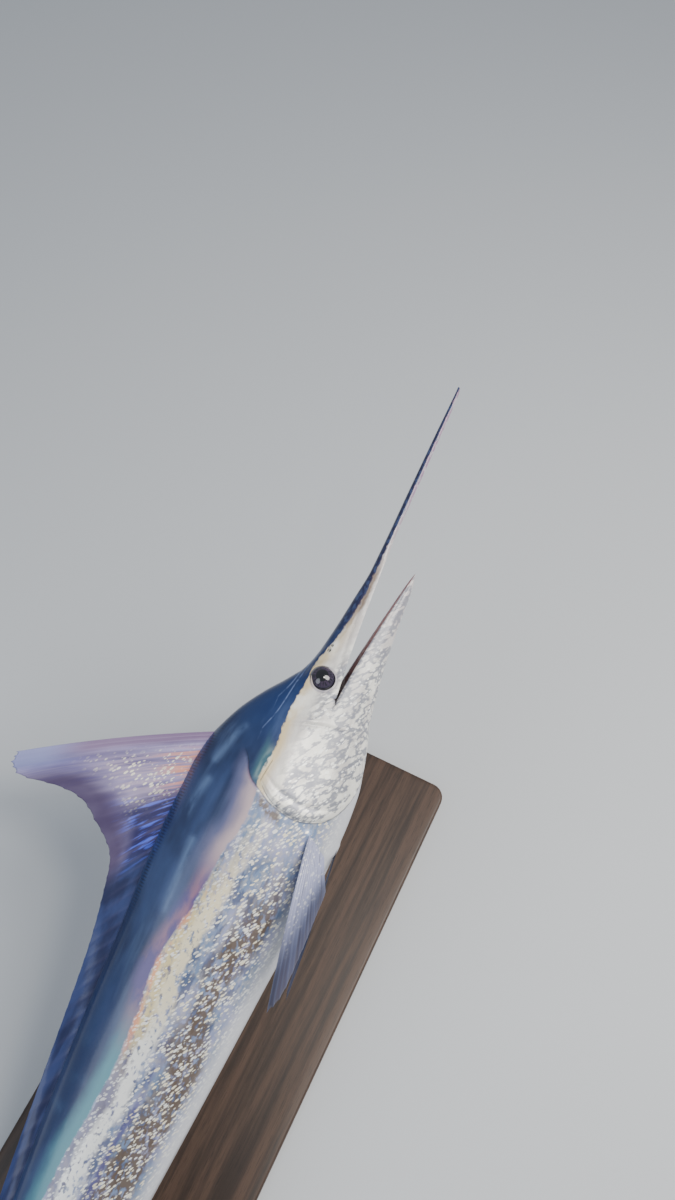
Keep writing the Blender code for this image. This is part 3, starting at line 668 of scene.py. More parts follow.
# %% Unite jaw and head
HINGE_SPAN = (0.143, 0.158, 0.010)
HINGE_HEIGHTS = (0.0035, 0.0080)
HINGE_ROUNDS = 14

combine(body, jaw, "UNION")
s, y, z = find(points_of(body))
over_lip = z - lip(np.minimum(s, HINGE))
soften(body, between(s, *HINGE_SPAN) * (1.0 - ease(over_lip, *HINGE_HEIGHTS)), HINGE_ROUNDS)
settle(body)
print("united skin vertices:", len(body.data.vertices))

# %% [markdown]
# ## The gill covers
# Each cover is a thin bony plate that lies flush in front and lifts towards its free rear edge, where
# it ends in a soft point. A grid is extruded once, which gives it a second face, and every vertex is
# then moved to its place: the front edge under the skin, the rear edge proud of it. Low ridges fan
# back over it from its upper front corner, as they do on the real bone.

# %% Helper for thin plates
def plate(name, columns, rows, shape):
    """A closed thin piece; shape gives the place of each vertex from its column, row and face."""
    thing, grid = slab(name, columns, rows)
    u = 0.5 * (grid[:, 0] + 1.0)
    v = 0.5 * (grid[:, 1] + 1.0)
    face = np.where(grid[:, 2] > 0.5, 1.0, -1.0)
    move_points(thing, shape(u, v, face))
    settle(thing)
    return thing, u, v


print("plates start as grids")

# %% Shape the gill covers
GILL_FRONT = ((0.190, 77), (0.176, 90), (0.171, 105), (0.171, 122), (0.172, 140), (0.175, 158))
GILL_REAR = ((0.2320, 76), (0.2440, 91), (0.2475, 108), (0.2410, 128), (0.2220, 148), (0.1950, 166))
GILL_LIFT = 0.0040
GILL_SINK = 0.0020
GILL_FRONT_SINK = 0.0006
GILL_EDGE_DROP = 0.0016
GILL_GRID = (72, 40)
GILL_RIDGES = 11
GILL_RIDGE_HIGH = 0.00022
GILL_RIDGE_ORIGIN = (0.12, 0.25)
GILL_EDGE_FOLD = 0.0007

front_s, front_turn = (curve([(i, p[k]) for i, p in enumerate(GILL_FRONT)]) for k in (0, 1))
rear_s, rear_turn = (curve([(i, p[k]) for i, p in enumerate(GILL_REAR)]) for k in (0, 1))


def gill_shape(side):
    """The places of a gill cover's vertices: u runs down the head and v towards its rear edge."""

    def shape(u, v, face):
        w = u * (len(GILL_FRONT) - 1)
        s = blend(front_s(w), rear_s(w), v)
        turn = side * np.radians(blend(front_turn(w), rear_turn(w), v))
        ends = np.sin(math.pi * np.clip(u, 0.02, 0.98)) ** 0.5
        lift = GILL_LIFT * v**1.5 * ends - GILL_FRONT_SINK * (1.0 - v) - GILL_EDGE_DROP * ease(v, 0.95, 1.0)
        fan = np.arctan2(u + GILL_RIDGE_ORIGIN[0], v + GILL_RIDGE_ORIGIN[1])
        ridges = np.sin(2.0 * GILL_RIDGES * fan) * ease(v, 0.15, 0.45) * (1.0 - ease(v, 0.85, 0.95))
        lift += GILL_RIDGE_HIGH * ridges
        lift -= GILL_EDGE_FOLD * bump_of(v, 0.80 + 0.05 * np.sin(3.0 * u), 0.025) * ends
        height = np.where(face > 0.0, lift, -GILL_SINK)
        return skin(s, turn) + height[:, None] * outward(s, turn)

    return shape


covers = [plate("cover", *GILL_GRID, gill_shape(side))[0] for side in (-1.0, 1.0)]
print("gill covers:", len(covers))

# %% [markdown]
# ## Rims round the eyes
# A fish has no eyelid to close, only a soft round rim. A torus with a flattened section lies in the
# skin round each socket.

# %% Shape the rims
RIM_RING = 0.0206
RIM_THICK = 0.0020
RIM_FLAT = (1.0, 1.0, 0.8)
RIM_OUT = 0.0006
RIM_STEPS = 72
RIM_ROUND = 14


def eye_facing(side):
    """How an eye is turned; the last column is the way it looks."""
    axis = Vector(outward(EYE_STATION, side * turn_at(EYE_STATION, EYE_HEIGHT)))
    return np.array(axis.to_track_quat("Z", "Y").to_matrix())


rims = []
for side in (-1.0, 1.0):
    bpy.ops.mesh.primitive_torus_add(
        major_segments=RIM_STEPS, minor_segments=RIM_ROUND, major_radius=RIM_RING, minor_radius=RIM_THICK
    )
    rim = named("rim")
    facing = eye_facing(side)
    seat = skin(EYE_STATION, side * turn_at(EYE_STATION, EYE_HEIGHT)) + RIM_OUT * facing[:, 2]
    move_points(rim, points_of(rim) * RIM_FLAT @ facing.T + seat)
    settle(rim)
    rims.append(rim)
print("rims:", len(rims))

# %% [markdown]
# ## One skin
# Covers and rims join the body in one mesh with one material, so that no seam shows between them.
# Then every vertex is asked where on the fish it lies, and what the paint needs is stored with it:
# how far it is above the line where the blue back meets the pale flank, how far behind the gill
# opening, and where the streaks of painted sheen, the band of painted shade, the faint bars, the
# creases and the inside of the mouth are.

# %% Lines that the colours follow
# Each is drawn on the fish's side, from one (station, height) point to the next
COLOUR_LINE = (
    (-0.172, 0.0132), (-0.060, 0.0113), (0.044, 0.0105), (0.074, 0.0140), (0.096, 0.0182),
    (0.114, 0.0232), (0.124, 0.0250), (0.142, 0.0262), (0.169, 0.0285), (0.182, 0.0278),
    (0.200, 0.0264), (0.230, 0.0285), (0.2400, 0.0255), (0.2650, 0.0230), (0.2960, 0.0285),
    (0.3435, 0.0314), (0.3860, 0.0383), (0.4040, 0.0395), (0.4420, 0.0349), (0.4880, 0.0327),
    (0.5200, 0.0338), (0.5800, 0.0380), (0.6500, 0.0350), (0.7500, 0.0240), (0.8500, 0.0100),
    (0.9300, -0.0020), (0.9850, -0.0100),
)
# A band of painted shade between the streaks of painted sheen
SHADE_BAND = (
    (0.2220, 0.0500), (0.2343, 0.0480), (0.2588, 0.0485), (0.2880, 0.0465), (0.3097, 0.0400),
    (0.3450, 0.0385),
)
# Streaks of painted sheen on the back
SHEEN_STREAKS = (
    ((0.196, 0.0575), (0.2048, 0.0615), (0.2321, 0.0673)),
    ((0.2500, 0.0660), (0.2614, 0.0680), (0.2850, 0.0705)),
    ((0.300, 0.0560), (0.330, 0.0540), (0.360, 0.0520)),
)
# The white band is partly the flank's pale tone and partly a painted reflection of glare
WHITE_GLARE_BAND = (
    (0.250, 0.0060), (0.330, 0.0160), (0.4077, 0.0205), (0.4355, 0.0160), (0.4632, 0.0168),
    (0.5196, 0.0175), (0.5583, 0.0230), (0.6500, 0.0200), (0.7500, 0.0120), (0.8700, 0.0030),
)
VIOLET_LINE = (
    (0.4300, 0.0000), (0.5132, 0.0027), (0.5372, 0.0045), (0.5845, 0.0067), (0.7000, 0.0030),
    (0.8600, 0.0000),
)
BAR_FIRST = 0.252
BAR_STEP = 0.0288
BAR_COUNT = 21
BAR_LEAN = 0.10
BAR_WIDE = 0.0052
SHADE_BAND_WIDE = 0.0075
SHEEN_STREAK_WIDE = 0.0060
IN_MILLIMETRES = 1000.0 * LENGTH
print("the line between back and flank has", len(COLOUR_LINE), "points")

# %% What the vertices keep
LINING_WIDE = 0.92
ROOF_NEAR = 0.0010
ROOF_LOOKS_DOWN = -0.6
FLOOR_LOOKS_UP = 0.15
FLOOR_DEEP = 0.60
FLOOR_TOP = 0.0015
HINGE_PLAY = 0.002


def bars(s, z):
    """How strongly the faint light bars show."""
    total = np.zeros_like(s)
    for k in range(BAR_COUNT):
        middle = BAR_FIRST + BAR_STEP * k + BAR_LEAN * (z - 0.03)
        total += bump_of(s, middle, BAR_WIDE)
    return total


def in_mouth(thing, s, y, z):
    """1 on the lining of the mouth: its roof looks down, its floor and tongue look up."""
    normals = np.empty(len(thing.data.vertices) * 3)
    thing.data.vertices.foreach_get("normal", normals)
    upward = normals.reshape(-1, 3) @ TURN[:, 2]
    inside = np.abs(y) < LINING_WIDE * aside_at(s, lip(s))
    roof = (np.abs(z - lip(s)) < ROOF_NEAR) & (upward < ROOF_LOOKS_DOWN)
    jaw_height = z + (HINGE - s) * math.tan(math.radians(MOUTH_OPEN)) - lip(s)
    floor = (jaw_height > -FLOOR_DEEP * (lip(s) - belly(s))) & (jaw_height < FLOOR_TOP)
    floor &= upward > FLOOR_LOOKS_UP
    open_part = (s > MOUTH_FRONT) & (s < HINGE - HINGE_PLAY)
    return (inside & open_part & (roof | floor)).astype(float)


def own_place(thing):
    """Store on each vertex its place along, to the left of and up the fish, in metres."""
    s, y, z = find(points_of(thing))
    layer = thing.data.attributes.new("fish", "FLOAT_VECTOR", "POINT")
    layer.data.foreach_set("vector", (LENGTH * np.stack([s, y, z], axis=-1)).astype(np.float32).ravel())
    return s, y, z


def mark(thing):
    """Store on each vertex what the skin's paint needs."""
    s, y, z = own_place(thing)
    lines = {"over_line": COLOUR_LINE, "white_glare_band": WHITE_GLARE_BAND, "violet_line": VIOLET_LINE}
    lines.update({f"above_crease_{k}": line for k, line in enumerate(CREASES)})
    for name, line in lines.items():
        attribute(thing, name, IN_MILLIMETRES * (z - curve(line)(s)))
    attribute(thing, "behind_gill", IN_MILLIMETRES * (s - gill_line(turn_of(s, z))))
    attribute(thing, "turn", turn_of(s, z))
    attribute(thing, "bars", bars(s, z))
    attribute(thing, "shade_band", bump_of(from_line(SHADE_BAND, s, z), 0.0, SHADE_BAND_WIDE))
    streaks = sum(bump_of(from_line(line, s, z), 0.0, SHEEN_STREAK_WIDE) for line in SHEEN_STREAKS)
    attribute(thing, "sheen_streak", streaks)
    attribute(thing, "in_mouth", in_mouth(thing, s, y, z))


print("creases kept as lines:", len(CREASES))

# %% Join and mark the skin
alone(body)
for extra in (*covers, *rims):
    extra.select_set(True)
bpy.ops.object.join()
body = named("marlin_skin")
mark(body)
body.data.calc_loop_triangles()
print("one skin with", len(body.data.loop_triangles), "triangles")

# %% [markdown]
# ## Eyes
# A billfish's eye is large and dark: a black pupil in a purple-brown iris under a clear wet dome. A
# sphere is enough for its form, with the front pushed out a little where the cornea is. Each vertex
# keeps its distance from the middle of the gaze and its place round it for the paint.

# %% Shape the eyes
EYE_GRID = (64, 48)
CORNEA = 0.0012
CORNEA_WIDE = 0.40
BEHIND_THE_EYE = 2.0

eyes = []
for name, side in (("eye_right", -1.0), ("eye_left", 1.0)):
    eye, ball = globe(name + "_ball", *EYE_GRID, EYE_RADIUS)
    gaze = np.hypot(ball[:, 0], ball[:, 1]) / EYE_RADIUS
    front = ball[:, 2] > 0.0
    domed = ball + np.outer(CORNEA * bump_of(gaze, 0.0, CORNEA_WIDE) * front, (0.0, 0.0, 1.0))
    move_points(eye, domed @ eye_facing(side).T + eye_centre(side))
    settle(eye)
    attribute(eye, "gaze", np.where(front, gaze, BEHIND_THE_EYE))
    attribute(eye, "clock", np.arctan2(ball[:, 1], ball[:, 0]))
    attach(eye, "root")
    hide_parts(name)
    eyes.append(eye)
print("eyes:", len(eyes))

# %% [markdown]
# ## Fins
# A fin is a thin skin over a fan of rays. Each one is a grid with a second face, as the gill covers
# are. Rows run out along the rays and columns run along the base, eight to a ray, so that every ray
# swells into a narrow ridge. Two functions place the vertices, one for fins on the middle line and
# one for the paired fins.

# %% Helpers for fins
EDGE_THICK = 0.0010
PER_RAY = 8
MEMBRANE_SHARE = 0.86
ROOT_SINK = 0.006
ROOT_ROWS = 0.02
MARGIN_NOTCH = 0.012
RAY_SHARPNESS = 8
TAPER = 1.2
FIN_ROWS = 36
SAIL_ROWS = 64
RIPPLES = 9.0
RIPPLE_LEAN = 5.0


def thickness(root, v, crest):
    """How thick a fin is: the rays stand out of the membrane, and both thin out to the margin."""
    full = root * (1.0 - v) ** TAPER + 1.5 * EDGE_THICK
    thin = np.maximum(MEMBRANE_SHARE * full, EDGE_THICK)
    return thin + (full - thin) * crest


def ray_ridge(u, rays):
    """1 on a ray's crest, 0 on the membrane between two rays."""
    phase = np.mod(u * (rays - 1) + 0.5, 1.0) - 0.5
    return np.cos(math.pi * phase) ** RAY_SHARPNESS


def from_root(v, length):
    """Turn a row of the grid into a share of the ray; the first row lies inside the body."""
    return np.where(v < ROOT_ROWS, -ROOT_SINK / length, (v - ROOT_ROWS) / (1.0 - ROOT_ROWS))


def fin(name, shape_of, rays, nodes, rows=FIN_ROWS):
    """Build a fin from its shape, store its own coordinates, and let it stand for its solids."""
    thing, u, v = plate(name, PER_RAY * (rays - 1), rows, shape_of)
    attribute(thing, "ray", ray_ridge(u, rays))
    attribute(thing, "ray_place", u * (rays - 1))
    attribute(thing, "out", np.clip((v - ROOT_ROWS) / (1.0 - ROOT_ROWS), 0.0, 1.0))
    own_place(thing)
    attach(thing, "root")
    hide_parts(*nodes)
    return thing


def median_shape(shape, up_or_down):
    """The places of the vertices of a fin on the middle line."""
    lengths = curve(shape["lengths"])
    angles = curve(shape["angles"])
    outline = back if up_or_down > 0.0 else belly

    def at(u, v, face):
        crest = ray_ridge(u, shape["rays"])
        share = shape["crowding"] * u + (1.0 - shape["crowding"]) * u * u
        s = shape["first"] + (shape["last"] - shape["first"]) * share
        length = lengths(share) * (1.0 - MARGIN_NOTCH * (1.0 - crest))
        v = from_root(v, length)
        outer = np.maximum(v, 0.0)
        lean = np.radians(angles(share) - 0.5 * shape["curl"] * outer)
        flow = shape.get("ripple", 0.0) * np.sin(RIPPLES * u * math.pi + RIPPLE_LEAN * v) * outer
        half = 0.5 * thickness(shape["root"], outer, crest) / LENGTH
        rise = length * v * np.sin(lean)
        return place(s + length * v * np.cos(lean), flow + face * half, outline(s) + up_or_down * rise)

    return at


print("fins have", PER_RAY, "columns to a ray")

# %% [markdown]
# ### The sail and the other fins on the middle line
# The first dorsal fin is high and sickle shaped in front and runs back as a long low fringe. Its ray
# lengths and angles were read from the photograph: the rays swing from steep at the front to nearly
# flat behind. The anal fin and the two small rear fins are finished from the species.

# %% Sizes of the median fins
DORSAL = {
    "first": SAIL_FIRST,
    "last": 0.740,
    "rays": 39,
    "lengths": (
        (0.0, 0.171),
        (0.015, 0.171),
        (0.026, 0.166),
        (0.035, 0.161),
        (0.046, 0.148),
        (0.058, 0.128),
        (0.072, 0.109),
        (0.086, 0.095),
        (0.101, 0.084),
        (0.118, 0.0755),
        (0.14, 0.0645),
        (0.176, 0.052),
        (0.216, 0.046),
        (0.355, 0.034),
        (0.545, 0.026),
        (0.83, 0.019),
        (1.0, 0.008),
    ),
    "angles": ((0.0, 63.0), (0.08, 59.0), (0.155, 44.0), (0.20, 38.0), (0.40, 35.0), (1.0, 32.0)),
    "crowding": 0.25,
    "curl": 8.0,
    "root": 0.0055,
    "ripple": 0.0009,
}
SECOND_DORSAL = {
    "first": 0.803,
    "last": 0.832,
    "rays": 6,
    "lengths": ((0.0, 0.042), (0.3, 0.030), (0.8, 0.022), (1.0, 0.045)),
    "angles": ((0.0, 52.0), (0.7, 34.0), (1.0, 16.0)),
    "crowding": 1.0,
    "curl": 10.0,
    "root": 0.0042,
}
ANAL = {
    "first": 0.605,
    "last": 0.705,
    "rays": 15,
    "lengths": ((0.0, 0.115), (0.09, 0.106), (0.24, 0.060), (0.45, 0.038), (0.8, 0.024), (1.0, 0.012)),
    "angles": ((0.0, 58.0), (0.3, 48.0), (1.0, 36.0)),
    "crowding": 0.6,
    "curl": 14.0,
    "root": 0.0050,
}
SECOND_ANAL = dict(SECOND_DORSAL, first=0.785, last=0.814)

print("rays of the sail:", DORSAL["rays"])

# %% Shape the median fins
sail_nodes = ("dorsal_fin_front", "dorsal_fin_rear")
sail = fin("sail", median_shape(DORSAL, 1.0), DORSAL["rays"], sail_nodes, SAIL_ROWS)
dusky = []
for name, shape, up_or_down in (
    ("second_dorsal", SECOND_DORSAL, 1.0),
    ("anal", ANAL, -1.0),
    ("second_anal", SECOND_ANAL, -1.0),
):
    placed = median_shape(shape, up_or_down)
    dusky.append(fin(name, placed, shape["rays"], (name + "_fin",)))
print("sail faces:", len(sail.data.polygons))

# %% [markdown]
# ### The paired fins
# The pectoral fins are long stiff blades low behind the gill covers, and the pelvic fins are two thin
# threads of three rays under the chest. Both sweep back along the body.

# %% Sizes of the paired fins
PECTORAL = {
    "base": PECTORAL_BASE,
    "rays": 16,
    "lengths": ((0.0, 0.150), (0.12, 0.137), (0.35, 0.095), (0.65, 0.056), (1.0, 0.029)),
    "spread": 20.0,
    "droop": (7.0, 24.0),
    "flatten": 0.60,
    "sweep": 0.06,
    "root": 0.0065,
}
PELVIC = {
    "base": PELVIC_BASE,
    "rays": 3,
    "lengths": ((0.0, 0.135), (0.5, 0.125), (1.0, 0.090)),
    "spread": 8.0,
    "droop": (7.0, 6.0),
    "flatten": 0.2,
    "sweep": -0.03,
    "root": 0.0055,
}
print("rays of a pectoral fin:", PECTORAL["rays"])

# %% Shape the paired fins
def paired_shape(shape, side):
    """The places of the vertices of a fin on one side of the body."""
    (s0, z0), (s1, z1) = shape["base"]
    lengths = curve(shape["lengths"])
    spread = math.radians(shape["spread"])

    def at(u, v, face):
        crest = ray_ridge(u, shape["rays"])
        s = s0 + (s1 - s0) * u
        z = z0 + (z1 - z0) * u
        length = lengths(u) * (1.0 - MARGIN_NOTCH * (1.0 - crest))
        v = from_root(v, length)
        outer = np.maximum(v, 0.0)
        droop = np.radians(blend(*shape["droop"], u))
        y = aside_at(s, z)
        out = length * v * math.sin(spread) * (1.0 - shape["flatten"] * outer)
        aft = length * v * math.cos(spread) * np.cos(droop)
        down = length * v * np.sin(droop) + length * shape["sweep"] * outer**2
        half = face * 0.5 * thickness(shape["root"], outer, crest) / LENGTH
        tilt = spread * (1.0 - 2.0 * shape["flatten"] * outer)
        return place(s + aft - half * np.sin(tilt), side * (y + out + half * np.cos(tilt)), z - down)

    return at


for hand, side in (("right", -1.0), ("left", 1.0)):
    for name, shape in (("pectoral", PECTORAL), ("pelvic", PELVIC)):
        placed = paired_shape(shape, side)
        dusky.append(fin(f"{name}_{hand}", placed, shape["rays"], (f"{name}_fin_{hand}",)))
print("paired fins done")

# %% [markdown]
# ### The tail
# The crescent tail has two stiff lobes. Each lobe's rays fan from the end of the stalk to the trailing
# edge, and every ray is a bent line between them.

# %% Shape the tail
TAIL_RAYS = 15
TAIL_TIP = (1.105, 0.188)
TAIL_FORK = 1.010
TAIL_BASE = (0.957, 0.977)
TAIL_BASE_HIGH = 0.0185
TAIL_ROOT_THICK = 0.0115
TAIL_CURL = 0.42
TAIL_BASE_BEND = 0.8
TAIL_EDGE_BEND = (1.25, 1.05)
TAIL_THINNING = 0.45


def lobe_shape(up_or_down):
    """The places of the vertices of one lobe of the tail."""

    def at(u, v, face):
        crest = ray_ridge(u, TAIL_RAYS)
        base_s = blend(*TAIL_BASE, u)
        base_z = TAIL_BASE_HIGH * (1.0 - u) ** TAIL_BASE_BEND
        end_s = TAIL_FORK + (TAIL_TIP[0] - TAIL_FORK) * (1.0 - u) ** TAIL_EDGE_BEND[0]
        end_z = TAIL_TIP[1] * (1.0 - u) ** TAIL_EDGE_BEND[1]
        middle_s = base_s + (end_s - base_s) * TAIL_CURL * (0.35 + 0.65 * u)
        middle_z = base_z + (end_z - base_z) * 0.5
        s = (1.0 - v) ** 2 * base_s + 2.0 * v * (1.0 - v) * middle_s + v * v * end_s
        z = (1.0 - v) ** 2 * base_z + 2.0 * v * (1.0 - v) * middle_z + v * v * end_z
        half = 0.5 * thickness(TAIL_ROOT_THICK * (1.0 - TAIL_THINNING * u), v, crest) / LENGTH
        return place(s, face * half, up_or_down * z)

    return at


for name, up_or_down in (("upper", 1.0), ("lower", -1.0)):
    placed = lobe_shape(up_or_down)
    dusky.append(fin(f"tail_{name}", placed, TAIL_RAYS, (f"tail_fin_{name}",)))
print("fins in all:", len(dusky) + 1)

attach(body, "root")
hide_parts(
    "bill",
    "head",
    "lower_jaw",
    "gill_cover_right",
    "gill_cover_left",
    "trunk_front",
    "trunk_rear",
    "tail_stalk",
)

# %% [markdown]
# ## The stand
# A board and two turned rods, plain enough not to draw the eye. The board is a cube with two bevels.
# A rod is a circle that is extruded and scaled from its foot upwards, and its top goes into the body.

# %% Build the board
BOARD = (1.10, 0.46, 0.026)
BOARD_CENTRE = 0.02
BOARD_CORNER = 0.030
BOARD_EDGE = 0.006
BOARD_CORNER_STEPS = 10
BOARD_EDGE_STEPS = 5
SMOOTH_BELOW = math.radians(35.0)


def settle_sharp(thing):
    """Settle a piece, and smooth it but for its sharp edges."""
    settle(thing, smooth=False)
    bpy.ops.object.shade_smooth_by_angle(angle=SMOOTH_BELOW)


bpy.ops.mesh.primitive_cube_add(size=1.0, location=(BOARD_CENTRE, 0.0, 0.5 * BOARD[2]))
board = named("stand_board")
move_points(board, points_of(board) * BOARD)
bpy.ops.object.mode_set(mode="EDIT")
bpy.ops.mesh.select_mode(type="EDGE")
bpy.ops.mesh.select_all(action="DESELECT")
bpy.ops.object.mode_set(mode="OBJECT")
for edge in board.data.edges:
    a, b = (board.data.vertices[i].co for i in edge.vertices)
    edge.select = abs(a.z - b.z) > 0.5 * BOARD[2]
bpy.ops.object.mode_set(mode="EDIT")
bpy.ops.mesh.bevel(offset=BOARD_CORNER, segments=BOARD_CORNER_STEPS, profile=0.5, affect="EDGES")
bpy.ops.mesh.select_all(action="DESELECT")
bpy.ops.object.mode_set(mode="OBJECT")
for polygon in board.data.polygons:
    polygon.select = polygon.normal.z > 0.9
bpy.ops.object.mode_set(mode="EDIT")
bpy.ops.mesh.select_mode(type="FACE")
bpy.ops.mesh.region_to_loop()
bpy.ops.mesh.bevel(offset=BOARD_EDGE, segments=BOARD_EDGE_STEPS, profile=0.5, affect="EDGES")
bpy.ops.object.mode_set(mode="OBJECT")
settle_sharp(board)
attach(board, "root")
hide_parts("stand_base")
print("board:", [round(1000 * v) for v in BOARD], "mm")

# %% Build the rods
ROD_CONTACTS = {"front": (0.315, 88.0), "rear": (0.555, 96.0)}
ROD_RADIUS = 0.014
ROD_SIDES = 64
ROD_FOOT = ((0.040, 0.0), (0.040, 0.0084), (0.036, 0.012), (0.020, 0.012), (0.015, 0.017), (0.014, 0.024))
ROD_TOP_SINK = 0.012
STAND_GAP = 0.0003

rods = []
for name, (station, turn) in ROD_CONTACTS.items():
    touch = skin(station, math.radians(turn))
    low = BOARD[2] + STAND_GAP
    bpy.ops.mesh.primitive_circle_add(
        vertices=ROD_SIDES, radius=ROD_FOOT[0][0], fill_type="NGON", location=(touch[0], touch[1], low)
    )
    rod = named(f"stand_post_{name}")
    bpy.ops.object.transform_apply(location=True)
    bpy.ops.object.mode_set(mode="EDIT")
    bpy.ops.mesh.select_all(action="SELECT")
    outline = list(ROD_FOOT) + [(ROD_RADIUS, touch[2] + ROD_TOP_SINK - low)]
    for (wide, here), (wide_next, there) in zip(outline, outline[1:]):
        bpy.ops.mesh.extrude_region_move(TRANSFORM_OT_translate={"value": (0.0, 0.0, there - here)})
        grow = wide_next / wide
        bpy.ops.transform.resize(value=(grow, grow, 1.0), center_override=(touch[0], touch[1], low + there))
    bpy.ops.object.mode_set(mode="OBJECT")
    settle_sharp(rod)
    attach(rod, "root")
    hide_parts(f"stand_rod_{name}")
    rods.append(rod)
print("rods:", len(rods))

# %% [markdown]
# ## Tools for the materials
# A small class keeps the node work readable. Each method adds one kind of step to the material's tree
# and gives back its result: a mix of two colours, a tone laid over a colour through masks, a soft
# step, a window between two values, and a cloudy pattern stretched along the fish. In the cells that
# paint, p is the material in hand.

# %% Colours as the nodes use them
def colour(red, green, blue):
    """A colour as a screen shows it, turned into the linear values that the nodes use."""
    channels = []
    for c in (red, green, blue):
        channels.append(c / 12.92 if c <= 0.04045 else ((c + 0.055) / 1.055) ** 2.4)
    return (*channels, 1.0)


print("middle grey is", round(colour(0.5, 0.5, 0.5)[0], 3), "in the nodes")

# %% Steps of a node tree
class Paint:
    """Steps that are added to one node tree, of a material or of a group."""

    def __init__(self, tree):
        self.tree = tree

    def plug(self, value, socket):
        """Wire a result to a socket, or set the socket to a value."""
        if isinstance(value, bpy.types.NodeSocket):
            self.tree.links.new(value, socket)
        else:
            socket.default_value = value

    def add(self, kind, inputs=None, **settings):
        """Add a node; inputs are values to set or results to wire, by name or number."""
        node = self.tree.nodes.new(kind)
        for name, value in settings.items():
            setattr(node, name, value)
        for name, value in (inputs or {}).items():
            self.plug(value, node.inputs[name])
        return node

    def mix(self, factor, first, second):
        """Mix two colours."""
        node = self.add("ShaderNodeMix", {0: factor, 6: first, 7: second}, data_type="RGBA")
        return node.outputs[2]

    def lay(self, base, tone, *masks):
        """Lay a tone over a colour, as strongly as the masks together say."""
        return self.mix(self.times(*masks), base, tone)

    def calc(self, operation, first, second=0.0):
        """One step of arithmetic."""
        return self.add("ShaderNodeMath", {0: first, 1: second}, operation=operation).outputs[0]

    def times(self, *values):
        """Multiply values."""
        result = values[0]
        for value in values[1:]:
            result = self.calc("MULTIPLY", result, value)
        return result

    def step(self, value, low, high):
        """A soft step of a value from low to high; it falls where low is above high."""
        if low > high:
            return self.calc("SUBTRACT", 1.0, self.step(value, high, low))
        inputs = {"Value": value, "From Min": low, "From Max": high}
        return self.add("ShaderNodeMapRange", inputs, interpolation_type="SMOOTHSTEP").outputs["Result"]

    def window(self, value, start, end, soft):
        """1 between two values, falling off over a soft width at both."""
        rise = self.step(value, start - soft, start + soft)
        return self.times(rise, self.step(value, end + soft, end - soft))

    def scaled(self, value, factor, offset=0.0):
        """A value times a factor, plus an offset."""
        inputs = {0: value, 1: factor, 2: offset}
        return self.add("ShaderNodeMath", inputs, operation="MULTIPLY_ADD").outputs[0]

    def stored(self, name, output="Fac"):
        """Read what a vertex has stored."""
        return self.add("ShaderNodeAttribute", attribute_name=name).outputs[output]

    def turned(self, vector, degrees):
        """Turn a vector about the fish's left-right direction."""
        turn = (0.0, math.radians(degrees), 0.0)
        return self.add("ShaderNodeMapping", {"Vector": vector, "Rotation": turn}).outputs[0]

    def noise(self, vector, stretch, detail=3.0):
        """A cloudy pattern; stretch gives how often it repeats in a metre along, aside and up."""
        sized = self.add("ShaderNodeMapping", {"Vector": vector, "Scale": stretch}).outputs[0]
        inputs = {"Vector": sized, "Scale": 1.0, "Detail": detail}
        return self.add("ShaderNodeTexNoise", inputs).outputs["Fac"]

    def group(self, tree, inputs):
        """Use a shared group of nodes."""
        return self.add("ShaderNodeGroup", inputs, node_tree=tree).outputs[0]


print("steps of a node tree ready")

# %% A whole material
class Material(Paint):
    """A material with a Principled shader, and the steps that feed it."""

    def __init__(self, name):
        self.material = bpy.data.materials.new(name)
        self.material.use_nodes = True
        super().__init__(self.material.node_tree)
        self.shader = self.tree.nodes["Principled BSDF"]

    def feed(self, **inputs):
        """Set or wire the shader's inputs; a name's underscores stand for spaces."""
        for name, value in inputs.items():
            self.plug(value, self.shader.inputs[name.replace("_", " ")])

    def bump(self, height, strength, distance=MILLIMETRE):
        """Feed the normal with a height."""
        inputs = {"Strength": strength, "Distance": distance, "Height": height}
        self.feed(Normal=self.add("ShaderNodeBump", inputs).outputs["Normal"])

    def dress(self, *things):
        """Give pieces this material alone."""
        for thing in things:
            thing.data.materials.clear()
            thing.data.materials.append(self.material)


print("materials can be made")

# %% [markdown]
# ### Scales
# A marlin's scales are narrow splinters under a slimy skin. They don't show as tiles: the skin looks
# finely combed, each splinter slanting a little downwards to the rear. One group makes the height from
# stretched patterns, and another picks out single splinters, which the paint makes bright as painted
# glints. The skin and the fins use them at their own strength.

# %% Start a shared group
def shared(name, inputs):
    """Start a shared group with one value coming out; give its steps, its inputs and its way out."""
    tree = bpy.data.node_groups.new(name, "ShaderNodeTree")
    for label, kind in inputs.items():
        tree.interface.new_socket(label, in_out="INPUT", socket_type=kind)
    tree.interface.new_socket("Value", in_out="OUTPUT", socket_type="NodeSocketFloat")
    way_in = tree.nodes.new("NodeGroupInput")
    way_out = tree.nodes.new("NodeGroupOutput")
    return Paint(tree), way_in.outputs, way_out.inputs["Value"]


print("a shared group gives one value out")

# %% Groups for the scales
SCALE_SLANT = 24.0
FINE_COMB = (150.0, 480.0, 480.0)
BROAD_COMB = (16.0, 44.0, 44.0)
SPLINTERS = (120.0, 300.0, 300.0)

steps, given, result = shared(
    "combed_skin", {"Vector": "NodeSocketVector", "Fine": "NodeSocketFloat", "Broad": "NodeSocketFloat"}
)
fine = steps.noise(steps.turned(given["Vector"], SCALE_SLANT), FINE_COMB, 2.0)
broad = steps.noise(given["Vector"], BROAD_COMB, 3.0)
both = steps.calc("ADD", steps.times(fine, given["Fine"]), steps.times(broad, given["Broad"]))
steps.tree.links.new(both, result)
combed_skin = steps.tree

